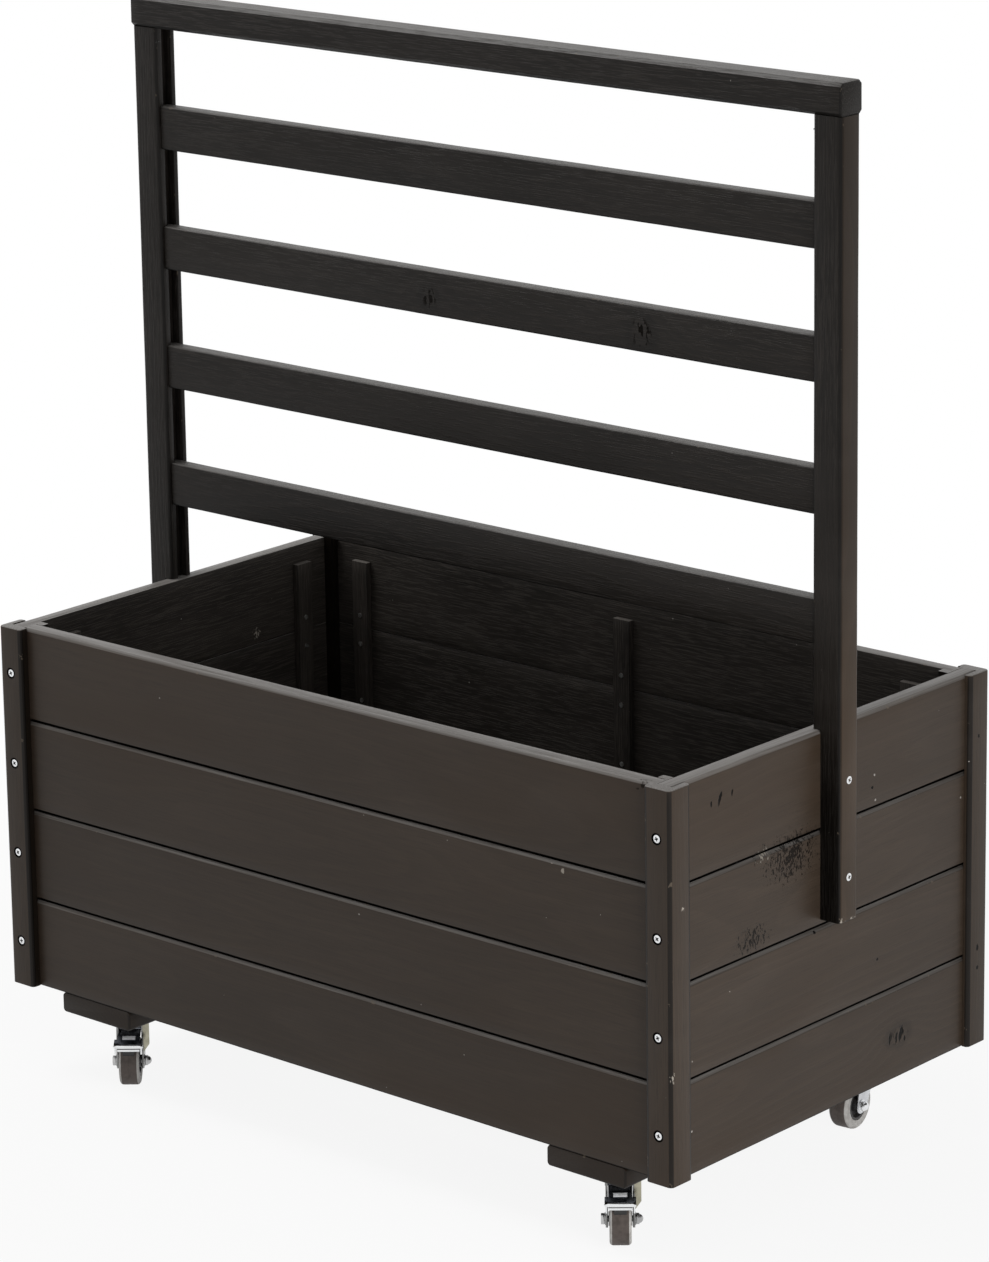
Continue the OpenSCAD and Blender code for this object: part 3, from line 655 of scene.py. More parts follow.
# %% [markdown]
# ## From a shaped stick to a piece of wood
# A machined stick is too perfect. Its faces get a fine grid and waves of a tenth of a
# millimetre from a Displace modifier, which is what makes light run unevenly along real
# planed wood. Then the grain attribute is written, and the narrow faces of its eased edges
# are marked, so that the stain can rub off there.

# %% Waves, grain and edges
waves = bpy.data.textures.new("wood waves", "CLOUDS")
waves.noise_scale = 0.06
waves.noise_depth = 1


def weather(piece, depth=0.35):
    """Gives a piece waves of depth in mm; its narrow bends shade smooth, its edges sharp."""
    modify(piece, "DISPLACE", texture=waves, texture_coords="LOCAL", strength=depth * MM,
           mid_level=0.5)
    shade_smooth(32)


def lay_grain(piece, along, out, seed):
    """along is the log's axis, out the way to the bark; seed picks the part of the log."""
    chance = random.Random(seed)
    along, out = Vector(along), Vector(out)
    across = out.cross(along)
    start = Vector([chance.uniform(*ends) for ends in ((0, 30), (-0.025, 0.025), (0.03, 0.07))])
    mesh = piece.data
    middle = sum((Vector(c) for c in piece.bound_box), Vector()) / 8
    grain = mesh.attributes.new("grain", "FLOAT_VECTOR", "POINT")
    for index, point in enumerate(mesh.vertices):
        offset = point.co - middle
        grain.data[index].vector = start + Vector([offset.dot(way) for way in (along, across, out)])
    edge = mesh.attributes.new("edge", "FLOAT", "CORNER")
    for face in mesh.polygons:
        square = max(abs(c) for c in face.normal) > 0.985
        for corner in face.loop_indices:
            edge.data[corner].value = 0.0 if square else 1.0
    return piece


seeds = itertools.count(11)

# %% [markdown]
# ## Wall boards
# The walls are tongue-and-groove boards: each has a tongue along its top edge, a groove
# along its bottom edge, and bevels that make the dark V and the light line of every seam.
# Bottom, middle and top boards differ, and a long and a short wall need each, so six boards
# are milled and then copied round the box.

# %% Mill the boards
LONG, SHORT = 413, 236
TONGUE_BACK, TONGUE_FRONT, TONGUE_HIGH, GROOVE_DEEP = 11, 6, 6, 6.5
BEVEL_DEEP, BEVEL_HIGH, JOINT = 3, 3.6, 3


def mill_board(course, half):
    """Drawn with x out of the wall into the box and y up, then laid along X."""
    top, bottom = course == 4, course == 1
    shoulder = COURSE if top else COURSE - JOINT
    ys = [0, COURSE] if top else [0, shoulder, COURSE, COURSE + TONGUE_HIGH]
    if not bottom:
        ys.insert(1, GROOVE_DEEP)

    def solid(x, y):
        in_tongue = TONGUE_FRONT < x < TONGUE_BACK
        if y < GROOVE_DEEP and not bottom:
            return not in_tongue
        return in_tongue or y < (shoulder if x < TONGUE_FRONT else COURSE)

    board = milled("board", [0, TONGUE_FRONT, TONGUE_BACK, THICK], ys, solid, -half, half)
    ease(board, long_edge(0, shoulder), BEVEL_DEEP)
    pick(board, "EDGE", long_edge(0, shoulder - BEVEL_DEEP))
    shift(0, BEVEL_DEEP - BEVEL_HIGH, 0)
    done()
    for x, y, width in ((0, shoulder - BEVEL_HIGH, 0.5), (BEVEL_DEEP, shoulder, 0.5),
                        (0, 0, 1.4 if bottom else 0.4), (THICK, 0, 0.8),
                        (THICK, COURSE, 0.8 if top else 2.4)):
        ease(board, long_edge(x, y), width, 2)
    grid(board, 2, 12)
    grid(board, 1, 12, 40)
    settle(board, Matrix(((0, 0, 1, 0), (1, 0, 0, 0), (0, 1, 0, 0), (0, 0, 0, 1))))
    weather(board)

    def shade(at, normal):
        """Painted shade: black in the open joint and under the outer bottom edge, and a little
        darker on the bevels of the short walls.
        """
        under_edge = at.z < (1.3 if bottom else 0.6) and at.y < 1.3 and normal.z < -0.1
        in_joint = not top and at.z > shoulder - 0.6 and 2.8 < at.y < 11.5
        if under_edge or in_joint:
            return 1.0
        bevel = not top and at.y < 3.2 and 0.3 < normal.z < 0.8
        return 0.3 if half == SHORT and bevel else 0.0

    mark(board, "deep", shade)
    return board


drawn = {(course, half): mill_board(course, half)
         for course in (1, 2, 4) for half in (LONG, SHORT)}
print("milled", len(drawn), "boards,", len(drawn[2, LONG].data.polygons), "faces in a long one")

# %% Hang the boards
WALLS = {"front": (0, LONG, -WALL_Y), "right": (90, SHORT, -WALL_X), "back": (180, LONG, -WALL_Y),
         "left": (270, SHORT, -WALL_X)}
for wall, (angle, half, face) in WALLS.items():
    along, inwards = (turned(angle).to_3x3() @ Vector(way) for way in ((1, 0, 0), (0, 1, 0)))
    for course in COURSES:
        pattern = drawn[2 if course == 3 else course, half]
        place = turned(angle) @ moved(0, face, BASE + (course - 1) * COURSE)
        board = lay_grain(copy_of(pattern, "board", place), along, -inwards, next(seeds))
        finish = knotty_stain if wall == "right" else planed_stain
        wooden(board, f"{wall}_board_{course}", finish, sawn_stain)
        paint(board, lambda at, normal: normal.dot(inwards) > 0.8)
throw_away(*drawn.values())
print("walls", list(WALLS), "of", len(COURSES), "boards each")

# %% [markdown]
# ## Corner posts
# Each post is one milled length with two grooves that hold the ends of the boards, and with
# rounded outer edges. One is drawn as a section, drawn up, and mirrored to the others, with
# its faces turned the right way round afterwards. The screw heads lie in small countersinks.

# %% Mill and place the posts
POST, LIP = 36, 31
SCREW = 15.5


def in_post(x, y):
    return ((y < 10 and x < LIP) or (10 < y < 12 and x < 27) or (x < 7 and y < LIP)
            or (24 < x < 27 and y < POST) or (x > 24 and y > 27))


post = milled("post", [0, 7, 24, 27, LIP, POST], [0, 10, 12, 27, LIP, POST], in_post, BASE, RIM)
for x, y, width, steps in ((0, 0, 4.5, 6), (LIP, 0, 4, 4), (0, LIP, 4, 4)):
    ease(post, long_edge(x, y), width, steps)
ease(post, lambda at, span: abs(span.z) > 100 and at.x > 35.9 and at.y > 26.9, 1.5, 2)
ease(post, lambda at, span: at.z > RIM - 0.1 and abs(span.z) < 0.1 and (
    min(at.x, at.y) < 5 or (at.x > 30.9 and at.y < 10.1) or (at.y > 30.9 and at.x < 7.1)), 1.2, 3)
grid(post, 2, 24, 100)
weather(post, 0.3)
drill = put_together("drill", [disc("drill", 5.8, -0.6, 1.4, 24, (SCREW, z), "Y") for z in MIDDLES])
modify(post, "BOOLEAN", operation="DIFFERENCE", object=drill, solver="EXACT")
throw_away(drill)


def shade_post(at, normal):
    """Painted shade: black in the countersinks, and dark on the faces inside the box and on the
    lips' ends beside the wall.
    """
    if 0.25 < at.y < 2.5 and min(math.hypot(at.x - SCREW, at.z - z) for z in MIDDLES) < 6.1:
        return 1.0
    if max(at.x, at.y) > 35.5 and abs(normal.z) < 0.5:
        return 0.7
    return 0.55 if at.x > 29.5 and at.y < 10.2 and normal.x > 0.6 else 0.0


shaded = mark(post, "deep", shade_post)
for corner, (sx, sy) in CORNERS.items():
    mirrored = Matrix.Diagonal((-sx, -sy, 1, 1))
    stake = copy_of(post, "post", moved(sx * POST_X, sy * POST_Y, 0) @ mirrored)
    if sx * sy < 0:
        pick(stake, "FACE")
        bpy.ops.mesh.flip_normals()
        done()
    lay_grain(stake, (0, 0, 1), (0, sy, 0), next(seeds))
    wooden(stake, corner + "_post", post_stain)
throw_away(post)
print("four posts, each with", shaded, "shaded faces")

# %% [markdown]
# ## Plain sticks
# Bearers, floor boards and cleats are straight sticks with eased edges. They start as
# blocks, lose their sharp edges, and are weathered like the rest.

# %% Bearers, floor boards and cleats
def stick(low, high, axis, easing, steps=2, out=(0, 0, 1)):
    """A stick along axis 0, 1 or 2, with all its edges eased."""
    wood = block("stick", low, high)
    longest = high[axis] - low[axis]
    ease(wood, lambda at, span: abs(span[axis]) > 0.9 * longest, easing, steps)
    ends = (low[axis], high[axis])
    ease(wood, lambda at, span: min(abs(at[axis] - end) for end in ends) < 0.1, easing * 0.5, 2)
    grid(wood, axis, 14)
    weather(wood)
    along = [float(number == axis) for number in range(3)]
    return lay_grain(wood, along, out, next(seeds))


def cleat(x, y, out):
    """A cleat on a wall that looks out into the box."""
    dx, dy = (3.5, 11) if out[0] else (11, 3.5)
    return stick((x - dx, y - dy, 114), (x + dx, y + dy, 460), 2, 0.8, out=out)


for side, x in (("left", -CASTER_X), ("right", CASTER_X)):
    bearer = stick((x - 48.5, -WALL_Y, 75), (x + 48.5, WALL_Y, BASE), 1, 4, 4)
    wooden(bearer, side + "_bearer", bearer_stain)
rows = {
    "floor_boards": [stick((-414, y - 48, BASE), (414, y + 48, BASE + THICK), 0, 1.5)
                     for y in (-156, -52, 52, 156)],
    "end_cleats": [cleat(sx * 412.5, y, (-sx, 0, 0)) for sx in (-1, 1) for y in (-173, 173)],
    "side_cleats": [cleat(x, sy * 217.5, (0, -sy, 0)) for sy in (-1, 1) for x in (-367, 0, 367)]}
for node, sticks in rows.items():
    wooden(put_together(node, sticks), node, sawn_stain)
print("sticks", {node: len(sticks) for node, sticks in rows.items()})

# %% [markdown]
# ## Trellis
# An upright stands on the rim with a shoulder, is screwed through its thinner foot, and has
# a groove in its inner face that takes the tongues of the slats. Its section is drawn at the
# height of the rim, drawn up to the rail, and the outer part is then drawn down as the foot.
# The faces that look outwards get a lighter copy of the trellis stain, painted light, and it gets
# paler downwards.

# %% Uprights
FOOT = 292
GROOVE_FRONT, GROOVE_BACK = -5.5, 7


def make_upright():
    xs, ys = [423, 432, WALL_X, UPRIGHT_X], [-14.5, GROOVE_FRONT, GROOVE_BACK, 14.5]
    wood = milled("upright", xs, ys, lambda x, y: x > 432 or not GROOVE_FRONT < y < GROOVE_BACK,
                  RIM, RAIL)
    pick(wood, "FACE", lambda at, normal: at.z < RIM + 0.1)
    bpy.ops.mesh.bisect(plane_co=(WALL_X * MM, 0, 0), plane_no=(1, 0, 0))
    pick(wood, "FACE", lambda at, normal: at.z < RIM + 0.1 and at.x > WALL_X)
    draw_out(0, 0, FOOT - RIM)
    face_outwards()
    done()
    for wanted, width, steps in (
            (lambda at: at.x > UPRIGHT_X - 0.1, 4.5, 5),
            (lambda at: at.x < 423.1 and abs(at.y) > 14, 3.5, 5),
            (lambda at: at.x < 423.1 and abs(at.y) < 8, 0.8, 2)):
        ease(wood, lambda at, span: abs(span.z) > 100 and wanted(at), width, steps)
    ease(wood, lambda at, span: at.z < FOOT + 0.1 and abs(span.z) < 0.1 and at.x > 434, 1.5, 3)
    grid(wood, 2, 14, 100)
    weather(wood, 0.3)
    return wood


def shade_upright(at, normal):
    """The foot's front and back faces get darker downwards, where less light reaches them."""
    return min(0.6, max(0.0, (510 - at.z) / 170)) if abs(normal.y) > 0.8 else 0.0


right = make_upright()
mark(right, "deep", shade_upright)
left = copy_of(right, "upright", turned(180))
pick(left, "FACE")
bpy.ops.transform.mirror(constraint_axis=(False, True, False), center_override=(0, 0, 0))
face_outwards()
done()
for wood, side, sx in ((left, "left", -1), (right, "right", 1)):
    lay_grain(wood, (0, 0, 1), (sx, 0, 0), next(seeds))
    wooden(wood, side + "_upright", trellis_stain, outer_stain)
    # Faces that look outwards take the lighter copy: painted light.
    paint(wood, lambda at, normal: normal.x * sx > 0.8)
print("uprights", len(right.data.polygons), "faces each")

# %% Rail and slats
SLAT, GAP = 45, 81
rail = stick((-UPRIGHT_X, -16.5, RAIL), (UPRIGHT_X, 16.5, RAIL + 32), 0, 3.6, 1)
wooden(rail, "top_rail", trellis_stain)
for number in (1, 2, 3, 4):
    foot = RIM + number * GAP + (number - 1) * SLAT
    body = stick((-423, -11, foot), (423, 6, foot + SLAT), 0, 2, 3, out=(0, -1, 0))
    low, high = (-431, -5.5, foot + 0.4), (431, 5.6, foot + SLAT - 0.4)
    tongue = stick(low, high, 0, 0.5, 1, out=(0, -1, 0))
    slat = put_together("slat", [body, tongue])
    wooden(slat, f"slat_{number}", knotty_slat if number == 3 else trellis_stain)
print("trellis ready")

# %% [markdown]
# ## Metal, rubber and plastic
# Zinc plating is a grey-white metal with a cloudy sheen and faint rolling lines. The screws
# are brighter, with painted shade in the recesses of their heads. The tyres are grey rubber
# with a tread painted darker as shade, and the wheel cores are black moulded plastic with a
# fine texture.

# %% Hardware finishes
# The dark of painted shade in the recesses of screw heads.
RECESS_SHADE = (0.02, 0.018, 0.016, 1)


def zinc(name, colour, gloss, dulled=0.5):
    finish, tree, shader, place = new_finish(name, Metallic=1.0)
    cloud = noise(place, 90.0, 4.0, 0.6)
    tone = spread(cloud, 0.3, 0.7)
    # The recess attribute marks the cross in a screw head, which is painted dark and dull as shade.
    recess_shade = attribute(tree, "recess")
    metal = tint(colour, tone, dulled, darker(colour, 0.55))
    metal = tint(metal, recess_shade, 0.9, RECESS_SHADE)
    dull = times_plus(recess_shade, 0.4, times_plus(tone, 0.15, gloss))
    height = plus(cloud, times(noise(place, 900.0), 0.3))
    surface(shader, metal, dull, height, 0.06)
    return finish


zinc_plate = zinc("zinc plate", (0.62, 0.63, 0.65, 1), 0.22, 0.25)
bright_zinc = zinc("bright zinc", (0.82, 0.83, 0.84, 1), 0.14, 0.1)
# The treadle's dark steel is a painted reflection of the box's dark underside.
pedal_steel = zinc("pedal steel", (0.13, 0.135, 0.15, 1), 0.12, 0.3)
shaded_zinc = zinc("shaded zinc", (0.24, 0.24, 0.235, 1), 0.18)
bolt_zinc = zinc("bolt zinc", (0.5, 0.5, 0.5, 1), 0.12)
olive_zinc = zinc("olive zinc", (0.42, 0.4, 0.31, 1), 0.3)
nail_zinc = zinc("nail zinc", (0.7, 0.7, 0.69, 1), 0.3)


def moulded(name, colour, dirt, gloss, grit):
    finish, _, shader, place = new_finish(name)
    cloud = noise(place, 120.0, 4.0, 0.6)
    surface(shader, blend(spread(cloud, 0.35, 0.7), colour, dirt), times_plus(cloud, 0.2, gloss),
            noise(place, grit), 0.05)
    return finish


# Darker rubber for the tread: painted shade.
shaded_tread_rubber = moulded("shaded tread rubber", (0.085, 0.068, 0.06, 1), (0.05, 0.04, 0.034, 1), 0.55, 700.0)
side_rubber = moulded("side rubber", (0.5, 0.49, 0.47, 1), (0.36, 0.34, 0.32, 1), 0.5, 700.0)
black_core = moulded("black core", (0.012, 0.012, 0.013, 1), (0.03, 0.028, 0.026, 1), 0.35, 1100.0)
white_mark = moulded("white enamel", (0.85, 0.86, 0.88, 1), (0.6, 0.6, 0.6, 1), 0.3, 900.0)
print("finishes", len(bpy.data.materials))

# %% [markdown]
# ## Screws and nails
# A countersunk head is a flat ring round a cross-shaped recess. One head is made from a
# cylinder whose top is inset and domed, and a cross is cut out of it. Its copies go to each
# place, each turned a little differently, as a screwdriver leaves them. The small hardware
# whose shape is right already keeps its node, and only gets a finish.

# %% One screw head, and its copies
def narrow_below(piece, share):
    """Draws the bottom face together."""
    pick(piece, "FACE", lambda at, normal: normal.z < -0.9)
    bpy.ops.transform.resize(value=(share, share, 1), center_override=(0, 0, 0))


screw_head = disc("screw head", 3.8, -2.4, 0, 32)
narrow_below(screw_head, 0.55)
pick(screw_head, "FACE", lambda at, normal: normal.z > 0.9)
for inwards, rise in ((0.55, 0.25), (1.1, 0.1)):
    bpy.ops.mesh.inset(thickness=inwards * MM)
    shift(0, 0, rise)
done()
for x, y in ((2.5, 0.75), (0.75, 2.5)):
    arm = block("arm", (-x, -y, -1.7), (x, y, 1))
    narrow_below(arm, 0.45)
    done()
    modify(screw_head, "BOOLEAN", operation="DIFFERENCE", object=arm, solver="EXACT")
    throw_away(arm)
take_up(screw_head)
shade_smooth(35)
# The cross-shaped recess is marked for its painted shade.
mark(screw_head, "recess", lambda at, normal: (
    at.xy.length < 2.6 and at.z > -2 and (normal.z < 0.5 or at.z < -0.5)))


def set_screws(name, places, node, sink=0.25):
    """places are (x, y, z, way) with the head looking along way."""
    chance = random.Random(node)
    heads = []
    for x, y, z, way in places:
        turn = Vector(way).to_track_quat("Z", "Y").to_matrix().to_4x4()
        spot = moved(x, y, z) @ turn @ turned(chance.uniform(0, 90)) @ moved(0, 0, -sink)
        heads.append(copy_of(screw_head, "head", spot))
    stands_for(put_together(name, heads), [bright_zinc], "screw_steel", node)


set_screws("post_screw_heads", [(sx * (POST_X - SCREW), sy * POST_Y, z, (0, sy, 0))
                                for sx, sy in CORNERS.values() for z in MIDDLES], "post_screws")
set_screws("upright_screw_heads", [(sx * UPRIGHT_X, 0, z, (sx, 0, 0)) for sx in (-1, 1)
                                   for z in MIDDLES[2:]], "upright_screws", -0.1)
print("screw head", len(screw_head.data.polygons), "faces")
throw_away(screw_head)

# %% Finishes for the small hardware that keeps its shape
KEPT = {"bearer_screws": bright_zinc, "caster_screws": bright_zinc, "rail_screws": bright_zinc,
        "cleat_nails": nail_zinc, "slat_pins": zinc_plate, "kingpins": zinc_plate}
for node, finish in KEPT.items():
    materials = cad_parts[node].data.materials
    materials.clear()
    materials.append(finish)
print("kept", len(KEPT), "nodes")

# %% [markdown]
# ## Casters
# All four casters are the same stamped zinc fork with a grey tyre on a black core; the two in
# front also have a brake pedal. One is modelled round its own kingpin, its wheel trailing
# towards -Y, and each copy is turned by its heading and set under its corner.

# %% Small helpers for round parts and sheet metal
def bore(piece, axis, steps):
    """Insets both end faces by steps of (inwards, along the axis) in mm, and joins the last."""
    pick(piece, "FACE", lambda at, normal: abs(normal[axis]) > 0.99)
    for inwards, rise in steps:
        bpy.ops.mesh.inset(thickness=inwards * MM, depth=rise * MM, use_even_offset=True)
    bpy.ops.mesh.bridge_edge_loops()
    done()


def soften(piece, width=0.35, steps=2):
    """Rounds all sharp edges by a little and shades the rest smooth."""
    modify(piece, "BEVEL", width=width * MM, segments=steps, limit_method="ANGLE",
           angle_limit=math.radians(40))
    shade_smooth(35)
    return piece


def thicken(piece, thickness):
    modify(piece, "SOLIDIFY", thickness=thickness * MM, offset=0, use_even_offset=True)


# %% Tyre and core
HUB = (-18, 25)


def from_hub(at):
    return math.hypot(at.y - HUB[0], at.z - HUB[1])


tyre = disc("tyre", 25, -10.5, 10.5, 72, HUB, "X")
bore(tyre, 0, [(4.6, 0), (0.5, -0.5), (3.85, 0)])
ease(tyre, lambda at, span: abs(at.x) > 10.4 and from_hub(at) > 24.8, 3.5, 5)
pick(tyre, "FACE")
for x in (-0.4, 0.4):
    cut(0, x)
pick(tyre, "FACE", lambda at, normal: abs(at.x) < 0.3 and from_hub(at) > 24)
bpy.ops.mesh.extrude_region_shrink_fatten(TRANSFORM_OT_shrink_fatten={"value": -0.2 * MM})
done()
soften(tyre, 0.15, 1)

core = disc("core", 16, -9.5, 9.5, 64, HUB, "X")
bore(core, 0, [(0.8, 0.4), (1.6, 0), (0.4, -0.6), (0.5, -4.6), (5.4, 0), (0.4, 6.6), (1.2, 0),
               (0.3, -0.4), (2.3, 0)])
soften(core, 0.2)
print("wheel", len(tyre.data.polygons), len(core.data.polygons), "faces")

# %% [markdown]
# The fork is one strip of sheet steel bent over the wheel. It starts as a block that is
# widened at its top, loses its front, back and bottom faces, and is bent round at the top
# and rounded at the axle before Solidify gives it the thickness of the sheet. The braked
# fork has a flange beside one leg, in a finish of its own.

# %% Fork
def make_fork(braked):
    strip = block("fork", (-12.9, -26.5, 16.5), (12.9, -9.5, 69.2))
    pick(strip, "FACE", lambda at, normal: normal.z > 0.9)
    bpy.ops.transform.resize(value=(1, 31 / 17, 1), center_override=(0, -0.018, 0.0692))
    shift(0, 16.5, 0)
    pick(strip, "FACE", lambda at, normal: abs(normal.x) < 0.5 and normal.z < 0.5)
    bpy.ops.mesh.delete(type="FACE")
    done()
    ease(strip, lambda at, span: abs(span.y) > 20 and at.z > 69, 3, 5)
    pick(strip, "EDGE", lambda at, span: at.z < 16.6)
    bpy.ops.mesh.bevel(offset=8.3 * MM, segments=8, affect="VERTICES")
    done()
    thicken(strip, 2.2)
    parts = [strip, disc("crown", 19, 68.1, 70.3)]
    if braked:
        flange = block("flange", (13, -20.3, 33.5), (20, -18.1, 70.3))
        pick(flange, "EDGE", lambda at, span: at.x > 19.9 and at.z < 33.6)
        shift(0, 0, 9.9)
        done()
        parts.append(flange)
    fork = soften(put_together("fork", parts))
    paint(fork, lambda at, normal: braked and at.x > 14 and at.y < -17.9)
    return fork


braked_fork, plain_fork = make_fork(True), make_fork(False)
print("forks", len(braked_fork.data.polygons), len(plain_fork.data.polygons), "faces")

# %% Axle bolt with its head, two washers and a domed nut
AXLE = ((3, -15, 18, 24, 0.3), (5.5, -18.5, -14.9, 6, 0.6), (6.2, -14.9, -14, 32, 0.2),
        (6.2, 14, 14.9, 32, 0.2), (5.5, 14.9, 18, 6, 0.5))
rounds = [soften(disc("axle", radius, low, high, sides, HUB, "X"), easing)
          for radius, low, high, sides, easing in AXLE]
take_up(None)
bpy.ops.mesh.primitive_uv_sphere_add(segments=24, ring_count=12, radius=4.5 * MM,
                                     location=Vector((17.2, *HUB)) * MM)
axle = put_together("axle", [*rounds, apply_place("dome")])
print("axle", len(axle.data.polygons), "faces")

# %% [markdown]
# The brake pedal is a bent plate. It starts as the treadle's flat strip, cut where the plate
# changes its width. Its back edge is drawn up to the pin, its front edge down to the lip and
# the shoe, and its ends down to short side tabs, before it is thickened.

# %% Brake pedal
pedal = block("pedal", (-14.1, -41.1, 49.1), (14.1, -32, 49.1))
bpy.ops.object.mode_set(mode="EDIT")
for x in (-12.6, -11.4, -6, 6, 11.4, 12.6):
    cut(0, x)
pick(pedal, "EDGE", lambda at, span: at.y > -32.1 and abs(span.y) < 0.1)
shift(0, 0, 3.1)
pick(pedal, "EDGE", lambda at, span: at.y > -32.1 and abs(span.y) < 0.1 and abs(at.x) < 11.3)
draw_out(0, 20, 6.8)
pick(pedal, "EDGE", lambda at, span: at.y < -41 and abs(span.y) < 0.1)
draw_out(0, 0, -2.3)
pick(pedal, "EDGE", lambda at, span: at.z < 46.9 and abs(span.z) < 0.1 and abs(at.x) < 11.3)
draw_out(0, 1.4, -1.6)
draw_out(0, 0, -2.4)
pick(pedal, "EDGE", lambda at, span: at.z < 42.9 and abs(span.z) < 0.1 and abs(at.x) < 6)
draw_out(0, 1.2, -5.6)
pick(pedal, "EDGE", lambda at, span: 46.7 < at.z < 46.9 and abs(span.z) < 0.1 and abs(at.x) > 12.6)
draw_out(0, 0, -6.5)
pick(pedal, "EDGE", lambda at, span: (
    abs(at.x) > 14 and at.z > 48 and abs(span.x) < 0.1 and abs(span.y) > 5))
draw_out(0, 0, -2.6)
done()
ease(pedal, lambda at, span: (
    abs(at.y + 41.1) < 0.1 and abs(at.z - 49.1) < 0.1 and abs(span.x) > 1), 1.0, 4)
thicken(pedal, 1.6)
pin = disc("pin", 2, -14.4, 14.4, 24, (-12, 58), "X")
sleeve = disc("sleeve", 3.9, -11.1, 11.1, 32, (-12, 58), "X")
bar = block("bar", (-6.6, -2.2, 0), (6.6, 2.2, 1.9))
settle(bar, moved(0, -30, 52.9) @ Matrix.Rotation(math.atan2(6.8, 20), 4, "X"))
pedal = soften(put_together("pedal", [pedal, pin, sleeve, bar]), 0.3)


def pedal_part(at, normal):
    """3 for the white bar, 2 for painted shade in the lip's groove and on the shoe, 1 for the
    lip's painted highlight, 0 for the rest, whose dark steel is a painted reflection of the
    box's dark underside.
    """
    if abs(at.x) < 11.6 and at.y < -37 and (44.9 < at.z < 47.2 or at.z < 42.4):
        return 2
    if abs(at.x) < 7 and abs(at.y + 30) < 2.9 and at.z > 53:
        return 3
    return at.y < -38.2 and at.z > 42.4 and (at.z < 49.9 or at.y < -40.5)


# One bent plate in lit and shaded copies: a painted highlight on the lip, painted shade in its
# groove and on the shoe.
paint(pedal, pedal_part)
print("pedal", len(pedal.data.polygons), "faces")

# %% Top plate with its ball race
plate = block("plate", (-30, -30, 72.8), (30, 30, 75))
ease(plate, lambda at, span: abs(span.z) > 2, 6, 6)
race = disc("race", 17, 70.6, 73.4, 64)
bore(race, 2, [(5, 0)])
plate = soften(put_together("plate", [plate, race]), 0.3)

# %% Set the casters under the corners
HEADINGS = {"front_left": 40, "front_right": 40, "back_left": 15, "back_right": 6}
STEEL = "zinc_steel", "caster"
WHEEL_ROWS = [("tyre", tyre, [shaded_tread_rubber, side_rubber], "grey_rubber", "wheel"),
              ("core", core, [black_core], "black_plastic", "wheel")]
FRONT_ROWS = [("fork", braked_fork, [shaded_zinc, olive_zinc], *STEEL),
              ("axle", axle, [bolt_zinc], *STEEL), *WHEEL_ROWS,
              ("pedal", pedal, [pedal_steel, bright_zinc, black_core, white_mark], "zinc_steel",
               "brake")]
BACK_ROWS = [("fork", plain_fork, [zinc_plate], *STEEL),
             ("axle", axle, [bright_zinc], *STEEL), *WHEEL_ROWS]
plates = []
for corner, heading in HEADINGS.items():
    sx, sy = CORNERS[corner]
    foot = moved(sx * CASTER_X, sy * CASTER_Y, 0)
    spot = foot @ turned(heading)
    flat = turned(heading).to_3x3() @ Vector((1, 0, 0))
    plates.append(copy_of(plate, "plate", foot))
    for part, pattern, finishes, slot_name, body in FRONT_ROWS if sy < 0 else BACK_ROWS:
        piece = copy_of(pattern, f"{corner}_{part}_piece", spot)
        stands_for(piece, finishes, slot_name, f"{corner}_{part}", body=f"{corner}_{body}")
        # Side faces take the pale rubber; the tread keeps the darker one, which is painted shade.
        if part == "tyre":
            paint(piece, lambda at, normal: (
                abs(normal.dot(flat)) > 0.25 and abs((at - spot.translation / MM).dot(flat)) > 6))
plates = put_together("caster_plates_piece", plates)
stands_for(plates, [zinc_plate], "zinc_steel", "caster_plates")
throw_away(tyre, core, braked_fork, plain_fork, axle, pedal, plate)
print("casters", len(HEADINGS))

# %% [markdown]
# ## Floor, light and camera
# The object stands on a plain white floor. A large soft lamp over the front left puts the
# light lines on the bevels, and a small one from the right, which nothing mirrors, makes the
# end lighter than the front. The surroundings are white, which the tops of the rims mirror at
# a low angle, but they light the object with less than half of that.

# %% The floor
def background_rays(tree):
    """1 for the rays that show the background itself: the camera's, a mirror's and a glass's."""
    rays = put(tree, "ShaderNodeLightPath").outputs
    mirrored = calc("MAXIMUM", rays["Is Glossy Ray"], rays["Is Transmission Ray"])
    return calc("MAXIMUM", rays["Is Camera Ray"], mirrored)


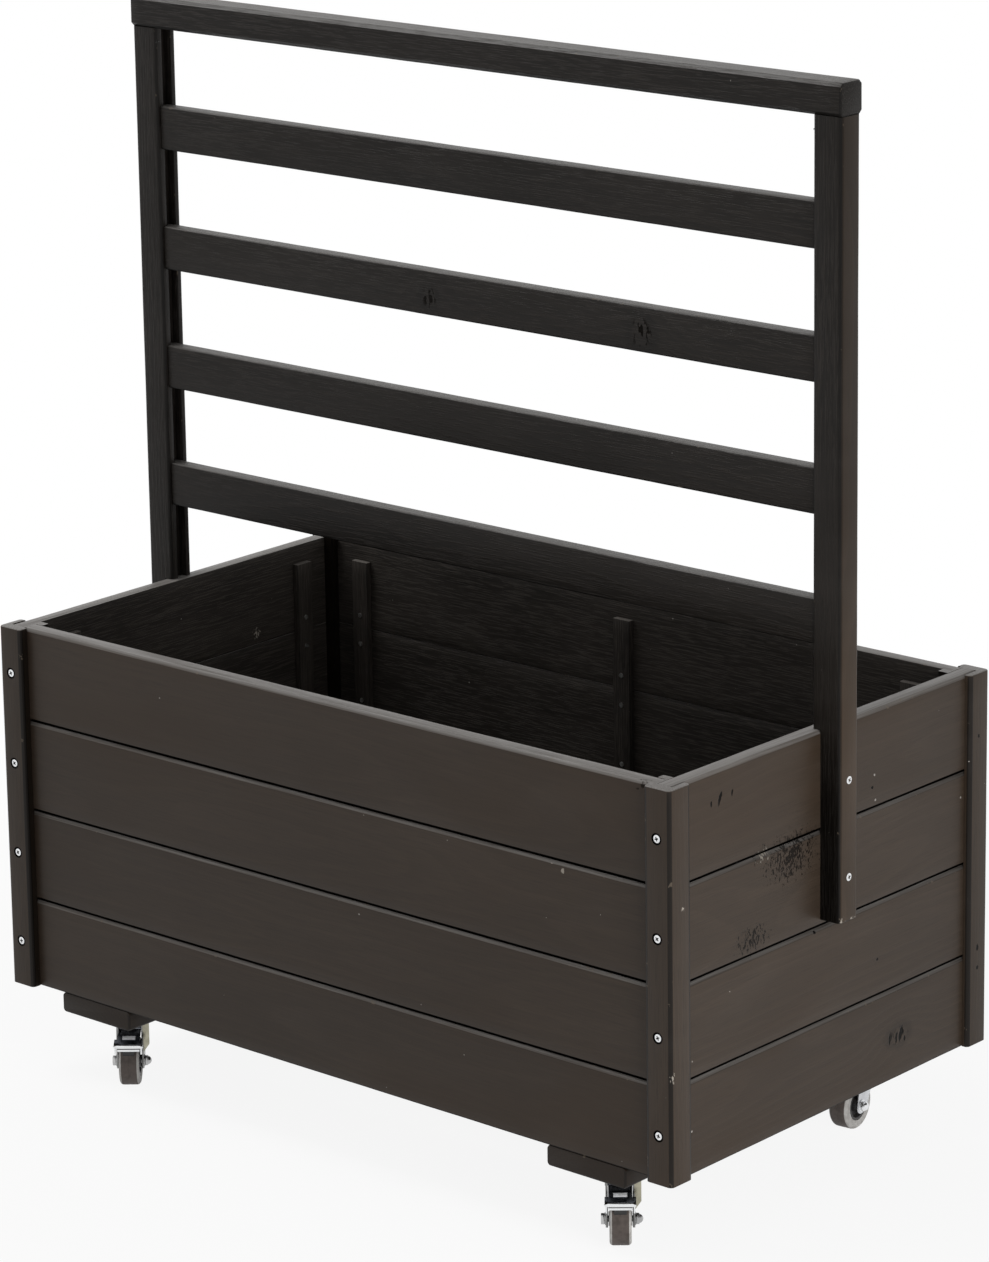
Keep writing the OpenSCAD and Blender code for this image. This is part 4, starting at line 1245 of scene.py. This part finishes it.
take_up(None)
bpy.ops.mesh.primitive_plane_add(size=90, location=(0, 0, 0))
ground = bpy.context.object
ground.name = "ground"
white = bpy.data.materials.new("white floor")
white.use_nodes = True
tree = white.node_tree
tree.nodes.clear()
matt = put(tree, "ShaderNodeBsdfDiffuse", [("Color", (0.62, 0.62, 0.62, 1))])
glow = put(tree, "ShaderNodeEmission", [("Color", (1, 1, 1, 1)), ("Strength", 1.0)])
reach = vectors("LENGTH", put(tree, "ShaderNodeTexCoord").outputs["Object"])
share = times(background_rays(tree), spread(reach, 0.7, 1.7, 0.9, 1.0))
both = put(tree, "ShaderNodeMixShader", [(0, share), (1, matt.outputs[0]), (2, glow.outputs[0])])
put(tree, "ShaderNodeOutputMaterial", [("Surface", both.outputs[0])])
ground.data.materials.append(white)

# %% The surroundings and the lamps
world = bpy.data.worlds.new("studio")
bpy.context.scene.world = world
world.use_nodes = True
tree = world.node_tree
tree.nodes.clear()
level = spread(background_rays(tree), 0.0, 1.0, 0.42, 1.0)
sky = put(tree, "ShaderNodeBackground", [("Color", (1, 1, 1, 1)), ("Strength", level)])
put(tree, "ShaderNodeOutputWorld", [("Surface", sky.outputs[0])])


def soft_lamp(name, place, target, size, watts, mirrored=True):
    light = bpy.data.lights.new(name, "AREA")
    light.shape, light.size, light.energy = "SQUARE", size, watts
    lamp = bpy.data.objects.new(name, light)
    bpy.context.collection.objects.link(lamp)
    lamp.location = place
    lamp.visible_camera = False
    lamp.visible_glossy = mirrored
    lamp.rotation_euler = (Vector(target) - Vector(place)).to_track_quat("-Z", "Y").to_euler()


soft_lamp("lamp over the front left", (-2.1, -0.9, 3.8), (0, 0, 0.3), 1.8, 96)
soft_lamp("lamp at the right end", (1.3, -0.4, 0.4), (0.44, 0, 0.36), 0.8, 9, mirrored=False)
print("lamps", len(bpy.data.lights))

# %% The camera
lens = bpy.data.cameras.new("camera")
lens.lens = 138.67
lens.sensor_width = 36
lens.shift_y = -0.15
lens.clip_end = 200
camera = bpy.data.objects.new("camera", lens)
bpy.context.collection.objects.link(camera)
camera.location = (3.087, -3.494, 1.840)
camera.rotation_euler = (math.radians(76.15), math.radians(0.82), math.radians(41.09))
bpy.context.scene.camera = camera
bpy.context.scene.view_settings.view_transform = "Standard"
